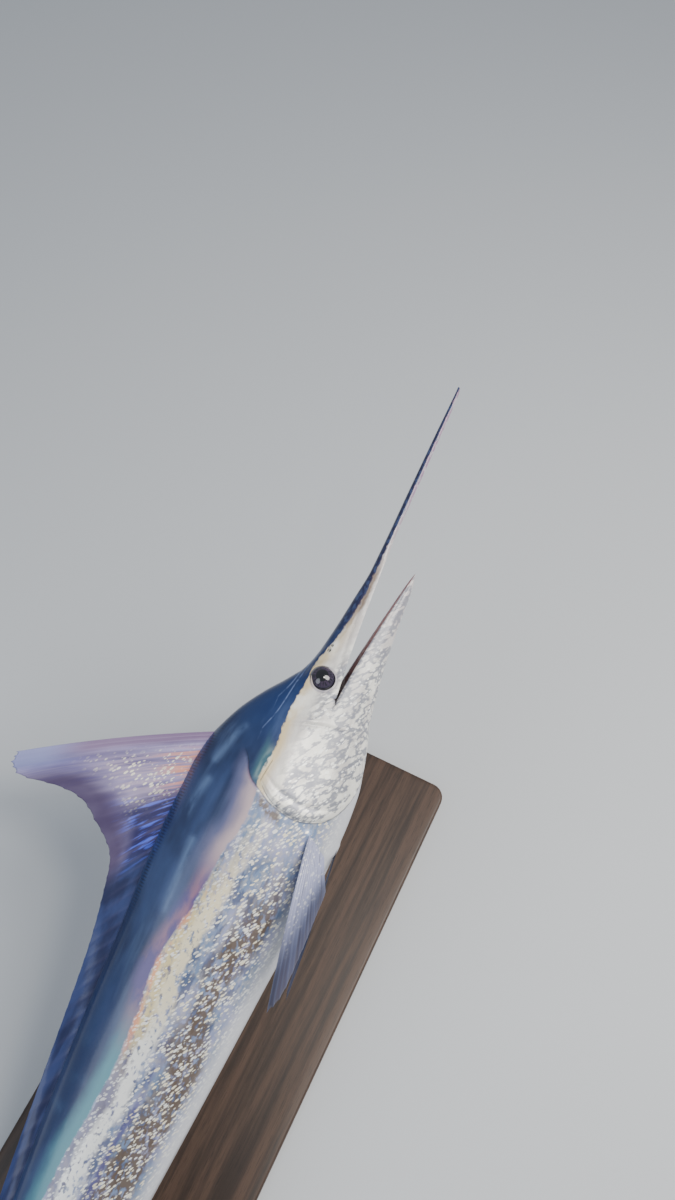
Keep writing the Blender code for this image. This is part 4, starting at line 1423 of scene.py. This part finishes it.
steps, given, result = shared("splinters", {"Vector": "NodeSocketVector", "Share": "NodeSocketFloat"})
slanted = steps.turned(given["Vector"], SCALE_SLANT + 10.0)
sized = steps.add("ShaderNodeMapping", {"Vector": slanted, "Scale": SPLINTERS}).outputs[0]
cells = steps.add("ShaderNodeTexVoronoi", {"Vector": sized, "Scale": 1.0})
lots = steps.add("ShaderNodeSeparateXYZ", {0: cells.outputs["Color"]}).outputs
drawn = steps.calc("SUBTRACT", given["Share"], lots["X"])
inside = steps.calc("SUBTRACT", steps.scaled(lots["Y"], 0.50, 0.20), cells.outputs["Distance"])
shape = steps.step(inside, -0.08, 0.14)
steps.tree.links.new(steps.times(steps.step(drawn, -0.04, 0.10), shape), result)
splinters = steps.tree
print("groups:", combed_skin.name, splinters.name)

# %% [markdown]
# ### The skin's colours
# From the back down: slate blue with soft paler streaks of painted sheen, then a narrow strip where
# the colour turns, lilac and pale rose behind the gills, rose and violet after that, and sea green
# further back. Below it are an orange edge of painted glints, a gold and a dull lilac stretch, a bright
# white band that is partly a painted reflection of glare, a violet line along the middle and a side of
# silver, brown and pearl, with bright splinters of painted glint over it. The head is dark above the eye
# and cream on the cheek, and the bill is dark above and rosy below. Noise makes each edge natural. We
# name each tone first, and then the few patterns that all of the painting shares.

# %% Tones of the skin
DEEP_SLATE = colour(0.09, 0.15, 0.29)
SLATE = colour(0.19, 0.27, 0.44)
# Paler blue for the painted sheen on the back
SHEEN_SLATE = colour(0.38, 0.48, 0.64)
NAPE_BLUE = colour(0.06, 0.17, 0.36)
BAR_BLUE = colour(0.30, 0.44, 0.60)
LILAC = colour(0.37, 0.38, 0.52)
PALE_ROSE = colour(0.72, 0.64, 0.66)
ROSE = colour(0.52, 0.38, 0.48)
# Orange for painted glints
ORANGE_GLINT = colour(0.90, 0.56, 0.36)
VIOLET = colour(0.30, 0.25, 0.48)
SEA_GREEN = colour(0.28, 0.52, 0.58)
YELLOW = colour(0.92, 0.84, 0.60)
DULL_LILAC = colour(0.46, 0.43, 0.50)
WHITE = colour(0.99, 0.99, 0.97)
CREAM = colour(0.97, 0.92, 0.78)
SILVER = colour(0.48, 0.56, 0.69)
PALE_LILAC = colour(0.66, 0.67, 0.80)
FLANK_SHADE = colour(0.20, 0.23, 0.38)
GOLD_BROWN = colour(0.40, 0.33, 0.26)
MIDDLE_VIOLET = colour(0.34, 0.33, 0.55)
BELLY_PEARL = colour(0.82, 0.82, 0.84)
CHEEK = colour(0.96, 0.95, 0.91)
PLATE = colour(0.80, 0.78, 0.76)
CHEEK_GREY = colour(0.40, 0.42, 0.50)
CHEEK_GOLD = colour(0.86, 0.76, 0.54)
GILL_TEAL = colour(0.22, 0.38, 0.42)
GILL_PALE = colour(0.52, 0.62, 0.62)
CREASE_PALE = colour(0.52, 0.60, 0.78)
BILL_DARK = colour(0.10, 0.11, 0.25)
BILL_BLUE = colour(0.22, 0.27, 0.42)
BILL_ROSE = colour(0.62, 0.50, 0.60)
BILL_PALE = colour(0.80, 0.77, 0.76)
BILL_BROWN = colour(0.46, 0.35, 0.24)
MOUTH_ROSE = colour(0.72, 0.54, 0.54)
# Darker rose for the painted shade deep in the mouth
MOUTH_SHADE = colour(0.34, 0.20, 0.22)
NEARLY_BLACK = colour(0.05, 0.05, 0.08)
RIM_GREY = colour(0.62, 0.59, 0.64)
print("tones named")

# %% Patterns of the skin
p = Material("marlin_skin")
fish = p.stored("fish", "Vector")
parts = p.add("ShaderNodeSeparateXYZ", {0: fish}).outputs
along = parts["X"]
over = p.stored("over_line")
gill = p.stored("behind_gill")
turn = p.stored("turn")
cloud = p.noise(fish, (7.0, 16.0, 16.0))
streak = p.noise(fish, (4.5, 36.0, 36.0))
patch = p.noise(fish, (18.0, 40.0, 40.0), 4.0)
grain = p.noise(fish, (90.0, 160.0, 160.0), 3.0)
soft = p.calc("ADD", over, p.scaled(patch, 18.0, -9.0))
crisp = p.calc("ADD", over, p.scaled(grain, 9.0, -4.5))
lower_side = p.step(crisp, 2.0, -2.0)

# %% [markdown]
# #### The back
# The real back is deep blue under slime, and light lies on it in long soft streaks. Clouds and
# streaks stretched along the fish mix three blues, the palest as painted sheen, with one band of
# painted shade and three streaks of painted sheen at their places, and a row of fine dark strokes
# under the root of the sail. The strip where the colour turns, and the lilac shoulder, go by how far
# a spot is above the line.

# %% Paint the back
slate = p.mix(p.step(cloud, 0.34, 0.66), DEEP_SLATE, SLATE)
# Paler streaks of painted sheen
slate = p.lay(slate, SHEEN_SLATE, p.step(streak, 0.50, 0.74), 0.40)
# A band of painted shade between the sheen streaks
slate = p.lay(slate, DEEP_SLATE, p.stored("shade_band"), 0.80)
# Three more streaks of painted sheen at their places
slate = p.lay(slate, SHEEN_SLATE, p.stored("sheen_streak"), p.step(patch, 0.30, 0.60), 0.60)
slate = p.lay(slate, NAPE_BLUE, p.step(along, 0.66, 0.90), 0.60)
bar = p.times(p.stored("bars"), p.step(along, 0.80, 1.10), p.step(patch, 0.40, 0.64))
slate = p.lay(slate, BAR_BLUE, bar, 0.22)

HATCH_PER_METRE = 190.0
HATCH_LEAN = 0.20
hatch_phase = p.calc("ADD", p.scaled(along, 2.0 * math.pi * HATCH_PER_METRE), p.scaled(turn, HATCH_LEAN))
hatch_zone = p.times(p.window(turn, 4.0, 19.0, 4.0), p.window(along, 0.36, 0.72, 0.05))
hatch = p.times(p.step(p.calc("SINE", hatch_phase), 0.0, 0.7), hatch_zone, p.step(patch, 0.30, 0.50))
slate = p.lay(slate, NEARLY_BLACK, hatch, 0.70)

strip = p.mix(p.step(patch, 0.40, 0.60), VIOLET, ROSE)
strip = p.lay(strip, SEA_GREEN, p.step(along, 0.80, 0.94))
strip = p.lay(strip, SLATE, p.step(along, 1.15, 1.65))
coat = p.mix(p.step(soft, 8.0, 30.0), strip, slate)
lilac = p.mix(p.step(soft, 3.0, 30.0), PALE_ROSE, LILAC)
shoulder = p.times(p.step(gill, -2.0, 9.0), p.step(along, 0.64, 0.54), p.step(soft, 50.0, 22.0))
coat = p.lay(coat, lilac, shoulder)
print("steps for the back:", len(p.tree.nodes))

# %% [markdown]
# #### The flank
# Below the line the wet scales throw back the light in small splinters, painted in as white glints.
# Silver and lilac clouds are the ground, with darker pools of painted shade in them. Brown, dull lilac
# and gold follow the distance below the line, and so do painted orange glints, so that every band bends
# with it. The painted glints lie over them, and are fainter near the line and on the belly. The white
# band, partly a painted reflection of glare, comes last.

# %% Paint the flank
# Painted glints: white splinters where the wet scales throw back light, and a sparse set of them
shine = p.group(splinters, {"Vector": fish, "Share": p.scaled(patch, 1.5, -0.15)})
few = p.group(splinters, {"Vector": fish, "Share": 0.30})
flank = p.mix(p.step(patch, 0.34, 0.64), SILVER, PALE_LILAC)
flank = p.lay(flank, PLATE, p.step(grain, 0.46, 0.62), 0.45)
pools = p.window(p.noise(fish, (26.0, 70.0, 70.0), 5.0), 0.54, 0.74, 0.05)
shade = p.times(pools, p.step(turn, 140.0, 120.0), p.step(along, 0.50, 0.60))
flank = p.lay(flank, FLANK_SHADE, shade, 0.60)
brown_line = p.window(p.calc("ADD", over, p.scaled(cloud, 70.0, -35.0)), -122.0, -70.0, 12.0)
brown = p.times(brown_line, p.step(grain, 0.34, 0.52), p.step(along, 0.50, 0.66))
flank = p.lay(flank, GOLD_BROWN, brown, 0.90)
flank = p.lay(flank, BELLY_PEARL, p.step(turn, 128.0, 150.0))
dull = p.times(p.window(soft, -26.0, 0.0, 5.0), p.step(along, 0.60, 0.74))
flank = p.lay(flank, DULL_LILAC, dull, 0.70)
gold = p.times(p.window(soft, -34.0, -3.0, 6.0), p.window(along, 0.60, 0.90, 0.06))
flank = p.lay(flank, YELLOW, gold, p.step(grain, 0.30, 0.56), 0.85)
# Painted orange glints along the edge just below the line
orange_glints = p.times(p.window(crisp, -8.0, 3.0, 3.0), p.window(along, 0.60, 0.90, 0.05))
flank = p.lay(flank, ORANGE_GLINT, orange_glints, p.step(patch, 0.40, 0.56), 0.75)
wavering = p.calc("ADD", p.stored("violet_line"), p.scaled(patch, 10.0, -5.0))
violet = p.times(p.window(wavering, -4.5, 4.5, 3.0), p.step(along, 0.84, 1.02))
flank = p.lay(flank, MIDDLE_VIOLET, violet, 0.80)
quiet_edge = p.scaled(p.step(over, -24.0, -4.0), -0.5, 1.0)
shine = p.times(shine, quiet_edge, p.scaled(violet, -0.6, 0.95), p.step(turn, 165.0, 125.0))
flank = p.lay(flank, WHITE, shine)
# Sparse cream painted glints lower down the flank
flank = p.lay(flank, CREAM, few, p.window(over, -135.0, -50.0, 12.0), 0.8)
# The white band: the flank's pale tone with a painted reflection of glare over it
wide_band = p.calc("ADD", p.stored("white_glare_band"), p.scaled(patch, 34.0, -17.0))
band = p.times(p.window(wide_band, -12.0, 12.0, 6.0), p.window(along, 0.56, 1.75, 0.12))
band_tone = p.mix(p.step(along, 0.90, 0.78), WHITE, CREAM)
flank = p.lay(flank, band_tone, band, p.step(grain, 0.34, 0.50), 0.95)
coat = p.lay(coat, flank, lower_side)
print("steps for the body:", len(p.tree.nodes))

# %% [markdown]
# #### The head
# The cheek is bone under thin skin, cream and mottled with grey, with sparse painted glints, and the
# top is dark blue with a sea-green patch in front of the gill opening. The creases of the nape catch
# the light as thin lines. The mesh is too coarse to hold such a line, so each vertex keeps its distance
# from the crease, and the material cuts a narrow window out of that distance. Painted shade darkens the
# gill opening and, mottled brown, the skin just behind the upper part of the cover.

# %% Paint the head
cream = p.mix(p.step(patch, 0.34, 0.66), CHEEK, PLATE)
ripple = p.noise(p.turned(fish, 38.0), (34.0, 60.0, 90.0), 6.0)
cloudy = p.calc("ADD", ripple, p.scaled(patch, 0.30, -0.15))
under_cream = p.step(p.calc("ADD", over, p.scaled(cloud, 40.0, -20.0)), -12.0, -46.0)
mottle = p.times(p.window(cloudy, 0.47, 0.60, 0.04), under_cream)
cream = p.lay(cream, CHEEK_GREY, mottle, 0.80)
# Sparse painted glints on the cheek
cream = p.lay(cream, WHITE, few, under_cream, 0.9)
cream = p.lay(cream, CHEEK_GOLD, p.step(crisp, -22.0, -2.0), p.step(patch, 0.30, 0.55), 0.80)
teal = p.mix(p.times(p.step(patch, 0.40, 0.60), p.step(soft, 14.0, 4.0)), GILL_TEAL, GILL_PALE)
teal_zone = p.times(p.window(gill, -60.0, -4.0, 14.0), p.step(soft, 24.0, 9.0))
teal_zone = p.times(teal_zone, p.window(along, 0.36, 0.47, 0.04))
dark_head = p.mix(p.step(streak, 0.45, 0.75), NAPE_BLUE, SLATE)
dark_head = p.lay(dark_head, slate, p.step(along, 0.30, 0.42))
dark_head = p.lay(dark_head, teal, teal_zone, 0.85)
for k, line in enumerate(CREASES):
    crease = p.window(p.stored(f"above_crease_{k}"), -0.7, 0.7, 1.0)
    reach = p.window(along, LENGTH * line[0][0], LENGTH * line[-1][0], 0.03)
    dark_head = p.lay(dark_head, CREASE_PALE, crease, reach, p.step(grain, 0.30, 0.60), 0.55)
head = p.mix(p.step(crisp, -1.5, 1.5), cream, dark_head)
coat = p.lay(coat, head, p.step(gill, 1.0, -1.0), p.step(along, 0.52, 0.46))
# Painted shade: a dark line along the gill opening
gill_opening_shade = p.times(p.window(gill, -1.0, 1.6, 1.2), p.window(turn, 58.0, 170.0, 6.0))
coat = p.lay(coat, NEARLY_BLACK, gill_opening_shade, 0.55)
# Painted shade, mottled brown, on the skin just behind the upper part of the gill cover
shade_behind_cover = p.times(p.window(gill, 2.0, 20.0, 6.0), p.window(soft, -52.0, -6.0, 8.0))
coat = p.lay(coat, GOLD_BROWN, shade_behind_cover, p.step(grain, 0.36, 0.54), 0.80)

print("steps with the head:", len(p.tree.nodes))

# %% [markdown]
# #### The bill, the mouth and the small openings
# The bill is rough bone, dark above and rosy below, with a brown edge between the two. The lining
# of the mouth is rosy flesh that darkens inwards with painted shade. Nostrils and eye rims are small
# and round, so they go by the distance from a point. That point is measured with the fish folded along
# its middle, which paints both sides at once. Painted shade darkens the pits of the nostrils and the
# skin inside each eye socket.

# %% Paint the bill and the mouth
bill_top = p.mix(p.step(grain, 0.44, 0.66), BILL_DARK, BILL_BLUE)
bill_low = p.mix(p.step(along, 0.06, -0.14), BILL_PALE, BILL_ROSE)
bill_low = p.lay(bill_low, WHITE, p.step(grain, 0.48, 0.62), 0.35)
bill_low = p.lay(bill_low, CHEEK_GREY, mottle, p.step(along, -0.06, 0.05), 0.70)
bill = p.mix(p.step(crisp, -1.5, 1.5), bill_low, bill_top)
brown_edge = p.times(p.window(crisp, -6.0, 0.5, 2.5), p.step(patch, 0.34, 0.56), p.step(along, -0.05, 0.06))
bill = p.lay(bill, BILL_BROWN, brown_edge, 0.8)
coat = p.lay(coat, bill, p.step(along, 0.22, 0.10))

# The lining darkens deeper in the mouth: painted shade
lining = p.mix(p.step(along, 0.10, 0.27), MOUTH_ROSE, MOUTH_SHADE)
lining = p.lay(lining, BILL_PALE, p.step(grain, 0.50, 0.62), 0.35)
coat = p.lay(coat, lining, p.stored("in_mouth"))

print("steps with the mouth:", len(p.tree.nodes))

# %% Paint the nostrils and the rims
mirrored = p.add(
    "ShaderNodeCombineXYZ", {"X": along, "Y": p.calc("ABSOLUTE", parts["Y"]), "Z": parts["Z"]}
).outputs[0]


def near(point, start, end):
    """1 close to a point of the head, on both sides, and 0 from a little further out."""
    distance = p.add("ShaderNodeVectorMath", {0: mirrored, 1: point}, operation="DISTANCE").outputs["Value"]
    return p.step(distance, end, start)


def spot_on_head(station, height):
    """A point of the plain skin on the left side, in the fish's own metres."""
    return [LENGTH * float(v) for v in (station, aside_at(station, height), height)]


# Painted shade in the pits of the nostrils
for station, height, radius in NOSTRILS:
    nostril_shade = near(spot_on_head(station, height), 0.8 * radius, 1.25 * radius)
    coat = p.lay(coat, NEARLY_BLACK, nostril_shade)
eye_spot = spot_on_head(EYE_STATION, EYE_HEIGHT)
coat = p.lay(coat, RIM_GREY, near(eye_spot, 0.0222, 0.0255), 0.60)
# Painted shade: the skin inside each eye socket, round the eye, is near black
coat = p.lay(coat, NEARLY_BLACK, near(eye_spot, 0.0188, 0.0202))
print("steps with the rims:", len(p.tree.nodes))

# %% [markdown]
# #### The skin's surface
# Slime makes the skin glossy, so a clear coat lies over a rougher ground, and the silver side is in
# part metallic. The combed height breaks up the gloss, and the bill has a fine grain of its own.

# %% Finish the skin
p.feed(
    Base_Color=coat,
    Metallic=p.times(lower_side, p.step(along, 0.30, 0.45), 0.30),
    Roughness=p.scaled(cloud, 0.25, 0.24),
    Coat_Weight=0.45,
    Coat_Roughness=0.16,
)
bill_rough = p.times(p.step(along, 0.16, 0.04), p.noise(fish, (700.0, 700.0, 700.0), 2.0))
skin_height = p.group(combed_skin, {"Vector": fish, "Fine": 0.40, "Broad": 0.9})
p.bump(p.calc("ADD", skin_height, p.scaled(bill_rough, 0.35)), 0.5)
p.dress(body)
print("steps for the whole skin:", len(p.tree.nodes))

# %% [markdown]
# ### Eyes
# The pupil is black and round. The iris is a deep purple brown with faint darker spokes, and it turns
# greyer in a thin ring at the rim. A full clear coat makes it look wet.

# %% Paint the eyes
IRIS_DEEP = colour(0.08, 0.06, 0.12)
IRIS_BROWN = colour(0.24, 0.18, 0.27)
IRIS_INNER = colour(0.28, 0.20, 0.28)
IRIS_RIM = colour(0.22, 0.20, 0.27)
PUPIL = colour(0.01, 0.01, 0.02)

p = Material("wet_eye")
gaze = p.stored("gaze")
round_and_out = {"X": p.scaled(p.stored("clock"), 3.0), "Y": p.scaled(gaze, 2.0)}
spokes = p.add("ShaderNodeCombineXYZ", round_and_out).outputs[0]
spoke = p.noise(spokes, (2.2, 1.2, 1.0))
iris = p.mix(p.step(spoke, 0.38, 0.66), IRIS_DEEP, IRIS_BROWN)
iris = p.lay(iris, IRIS_INNER, p.window(gaze, 0.47, 0.50, 0.03), 0.5)
iris = p.lay(iris, IRIS_RIM, p.step(gaze, 0.70, 0.78))
p.feed(
    Base_Color=p.mix(p.step(gaze, 0.45, 0.41), iris, PUPIL),
    Roughness=0.14,
    Coat_Weight=1.0,
    Coat_Roughness=0.04,
)
p.dress(*eyes)
print("eyes painted")

# %% [markdown]
# ### The sail
# In the light the sail is violet and rose, with fine pale rays. The leading edge is rosy and the tip
# lavender. Near the root in front it has a pale sheen with cream and orange glints, all painted
# highlights; behind, it turns a deep electric blue, and its rear margin is a dusky violet. The low part
# over the rear of the back is dark slate. The colours run along the rays, so the patterns use the ray's
# number and the distance out from the root.

# %% Tones of the sail
SAIL_MAUVE = colour(0.42, 0.38, 0.55)
SAIL_PALE = colour(0.64, 0.60, 0.76)
SAIL_STREAK = colour(0.30, 0.28, 0.62)
SAIL_LEAD = colour(0.50, 0.39, 0.52)
SAIL_TIP = colour(0.58, 0.62, 0.82)
# The next three tones are painted light: a pale sheen, orange glints and cream glints
SAIL_SHEEN = colour(0.78, 0.70, 0.76)
SAIL_ORANGE_GLINT = colour(0.93, 0.60, 0.44)
SAIL_GLINT = colour(0.99, 0.96, 0.88)
SAIL_NIGHT = colour(0.07, 0.06, 0.30)
SAIL_ELECTRIC = colour(0.26, 0.36, 0.84)
SAIL_MARGIN = colour(0.25, 0.19, 0.32)
SAIL_DUSK = colour(0.07, 0.11, 0.27)
SAIL_REAR = colour(0.15, 0.21, 0.40)
SAIL_RAY = colour(0.70, 0.64, 0.78)
print("tones of the sail named")

# %% Paint the sail
p = Material("violet_sail")
fish = p.stored("fish", "Vector")
ray = p.stored("ray")
ray_place = p.stored("ray_place")
out = p.stored("out")
fan = p.add("ShaderNodeCombineXYZ", {"X": ray_place, "Y": out}).outputs[0]
veil = p.noise(fan, (0.45, 1.6, 1.0))
thread = p.noise(fan, (2.6, 2.0, 1.0))
sail_glints = p.group(splinters, {"Vector": fish, "Share": 0.42})
web = p.mix(p.step(veil, 0.34, 0.66), SAIL_MAUVE, SAIL_PALE)
streaky = p.times(p.window(ray_place, 2.5, 7.5, 1.5), p.step(thread, 0.46, 0.60))
web = p.lay(web, SAIL_STREAK, streaky, 0.35)
web = p.lay(web, SAIL_LEAD, p.step(ray_place, 3.5, 1.2), 0.75)
web = p.lay(web, SAIL_TIP, p.step(out, 0.60, 0.88), p.step(ray_place, 5.0, 2.0), 0.7)
# Painted sheen near the root in front, with painted orange glints
sheen_near_root = p.times(p.window(ray_place, 4.0, 11.5, 1.8), p.window(out, 0.04, 0.62, 0.12))
web = p.lay(web, SAIL_SHEEN, sheen_near_root, p.step(thread, 0.40, 0.58), 0.60)
orange_glints = p.times(p.window(ray_place, 4.0, 9.5, 1.2), p.step(out, 0.36, 0.05), p.step(thread, 0.42, 0.58))
web = p.lay(web, SAIL_ORANGE_GLINT, orange_glints, 0.80)
# Cream painted glints over the sheen
web = p.lay(web, SAIL_GLINT, sheen_near_root, sail_glints)
blue_zone = p.times(p.step(ray_place, 8.0, 11.0), p.step(out, 1.0, 0.50))
electric = p.mix(p.step(thread, 0.50, 0.66), SAIL_NIGHT, SAIL_ELECTRIC)
web = p.lay(web, electric, blue_zone, 0.96)
margin = p.times(p.step(out, 0.55, 0.88), p.window(ray_place, 4.5, 17.0, 1.5))
web = p.lay(web, SAIL_MARGIN, margin, 0.88)
rear = p.step(ray_place, 13.5, 16.5)
dusk = p.mix(p.step(veil, 0.36, 0.64), SAIL_DUSK, SAIL_REAR)
web = p.lay(web, dusk, rear)
pale_rays = p.times(ray, p.step(out, 1.0, 0.35), p.scaled(rear, -0.15, 0.20))
pale_rays = p.times(pale_rays, p.scaled(blue_zone, -0.6, 1.0))
web = p.lay(web, SAIL_RAY, pale_rays)
p.feed(
    Base_Color=web,
    Metallic=0.10,
    Roughness=p.scaled(veil, 0.25, 0.30),
    Coat_Weight=0.30,
    Coat_Roughness=0.18,
)
p.bump(p.group(combed_skin, {"Vector": fish, "Fine": 0.25, "Broad": 1.0}), 0.45)
p.dress(sail)
print("sail painted")

# %% [markdown]
# ### The other fins
# They are dusky blue, nearly black along the leading rays, and a little paler and browner on the web
# towards the margin. The side of a pectoral fin that shows is silvery near its root, like the flank
# that it lies on, with painted white glints, and dusky only towards its tip.

# %% Paint the dusky fins
FIN_DARK = colour(0.10, 0.14, 0.26)
FIN_PALE = colour(0.21, 0.26, 0.40)
FIN_MARGIN = colour(0.36, 0.33, 0.38)
FIN_LEAD = colour(0.07, 0.09, 0.17)
FIN_RAY = colour(0.36, 0.41, 0.54)


def paint_fins(name, things, root_tone, root_share):
    """A fin's finish: a clouded web, a dark leading edge, fine pale rays and a tinted root with painted
    glints.
    """
    p = Material(name)
    fish = p.stored("fish", "Vector")
    ray_place = p.stored("ray_place")
    out = p.stored("out")
    fan = p.add("ShaderNodeCombineXYZ", {"X": ray_place, "Y": out}).outputs[0]
    veil = p.noise(fan, (0.6, 1.8, 1.0))
    web = p.mix(p.step(veil, 0.36, 0.64), FIN_DARK, FIN_PALE)
    web = p.lay(web, FIN_MARGIN, p.step(out, 0.50, 1.0), 0.5)
    web = p.lay(web, FIN_LEAD, p.step(ray_place, 1.5, 0.3), 0.6)
    web = p.lay(web, FIN_RAY, p.stored("ray"), 0.25)
    fin_glints = p.group(splinters, {"Vector": fish, "Share": 0.40})
    web = p.lay(web, root_tone, p.step(out, 0.85, 0.25), p.step(veil, 0.20, 0.50), root_share)
    # Painted white glints near the root, as on the flank
    web = p.lay(web, WHITE, p.step(out, 0.80, 0.30), fin_glints, root_share, 0.5)
    p.feed(Base_Color=web, Roughness=p.scaled(veil, 0.25, 0.28), Coat_Weight=0.40, Coat_Roughness=0.16)
    p.bump(p.group(combed_skin, {"Vector": fish, "Fine": 0.25, "Broad": 0.7}), 0.45)
    p.dress(*things)


pectorals = [thing for thing in dusky if thing.name.startswith("pectoral")]
others = [thing for thing in dusky if thing not in pectorals]
paint_fins("dusky_fin", others, SLATE, 0.0)
paint_fins("silvery_fin", pectorals, PALE_LILAC, 0.85)
print("dusky fins painted:", len(others), "silvery ones:", len(pectorals))

# %% [markdown]
# ### The stand's finish
# The board is dark stained wood with its grain along its length. The rods are brushed steel, with
# fine rings round them.

# %% Paint the stand
WOOD_DEEP = colour(0.20, 0.15, 0.12)
WOOD_PALE = colour(0.32, 0.24, 0.19)
WOOD_PORE = colour(0.12, 0.09, 0.08)
STEEL_DEEP = colour(0.55, 0.56, 0.58)
STEEL_PALE = colour(0.68, 0.69, 0.70)

p = Material("stained_board")
spot = p.add("ShaderNodeTexCoord").outputs["Object"]
wood_grain = p.noise(spot, (3.0, 70.0, 20.0), 6.0)
pores = p.noise(spot, (30.0, 700.0, 200.0), 2.0)
tone = p.mix(p.step(wood_grain, 0.35, 0.65), WOOD_DEEP, WOOD_PALE)
tone = p.lay(tone, WOOD_PORE, p.step(pores, 0.55, 0.70), 0.6)
p.feed(Base_Color=tone, Roughness=p.scaled(wood_grain, 0.2, 0.34))
p.bump(pores, 0.25, 0.0004)
p.dress(board)

p = Material("brushed_steel")
spot = p.add("ShaderNodeTexCoord").outputs["Object"]
rings = p.noise(spot, (8.0, 8.0, 1400.0))
tone = p.mix(p.step(rings, 0.3, 0.7), STEEL_DEEP, STEEL_PALE)
p.feed(Base_Color=tone, Metallic=1.0, Roughness=p.scaled(rings, 0.2, 0.24))
p.bump(rings, 0.2, 0.0002)
p.dress(*rods)
print("stand painted")

# %% [markdown]
# ## Floor and light
# A pale floor and soft light from large round lamps: a key from the belly's side, a fill from behind the
# back, and a smaller lamp that puts glints on the wet skin, as the sun does in the photograph.

# %% Floor and lamps
FLOOR_SIZE = 40.0
FLOOR_GREY = colour(0.80, 0.81, 0.82)
SKY_TINT = (0.80, 0.88, 1.0, 1.0)
SKY_STRENGTH = 0.45
LAMPS_AIM = (0.0, 0.0, 0.35)

bpy.ops.mesh.primitive_plane_add(size=FLOOR_SIZE, location=(0.0, 0.0, 0.0))
floor = named("floor")
p = Material("pale_floor")
p.feed(Base_Color=FLOOR_GREY, Roughness=0.7)
p.dress(floor)
floor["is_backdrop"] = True

world = bpy.data.worlds.new("studio")
bpy.context.scene.world = world
world.use_nodes = True
sky = world.node_tree.nodes["Background"]
sky.inputs["Color"].default_value = SKY_TINT
sky.inputs["Strength"].default_value = SKY_STRENGTH

LAMPS = (
    ("key", (1.0, -1.9, 3.0), 2.0, 106.0, (1.0, 0.97, 0.92)),
    ("fill", (-2.4, 1.4, 2.6), 2.4, 36.0, (0.86, 0.92, 1.0)),
    ("glint", (0.3, -0.9, 3.0), 0.45, 22.0, (1.0, 0.96, 0.88)),
)
for name, spot, size, power, tint in LAMPS:
    bpy.ops.object.light_add(type="AREA", location=spot)
    lamp = bpy.context.object
    lamp.name = name
    lamp.data.shape = "DISK"
    lamp.data.size = size
    lamp.data.energy = power
    lamp.data.color = tint
    aim = Vector(LAMPS_AIM) - Vector(spot)
    lamp.rotation_euler = aim.to_track_quat("-Z", "Y").to_euler()
print("lamps:", len(LAMPS))

# %% Write the sizes and finish
shown_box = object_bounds()
for name, (low, high) in (("cad", cad_box), ("visual", shown_box)):
    print(name, "box:", [round(b - a, 4) for a, b in zip(low, high)])
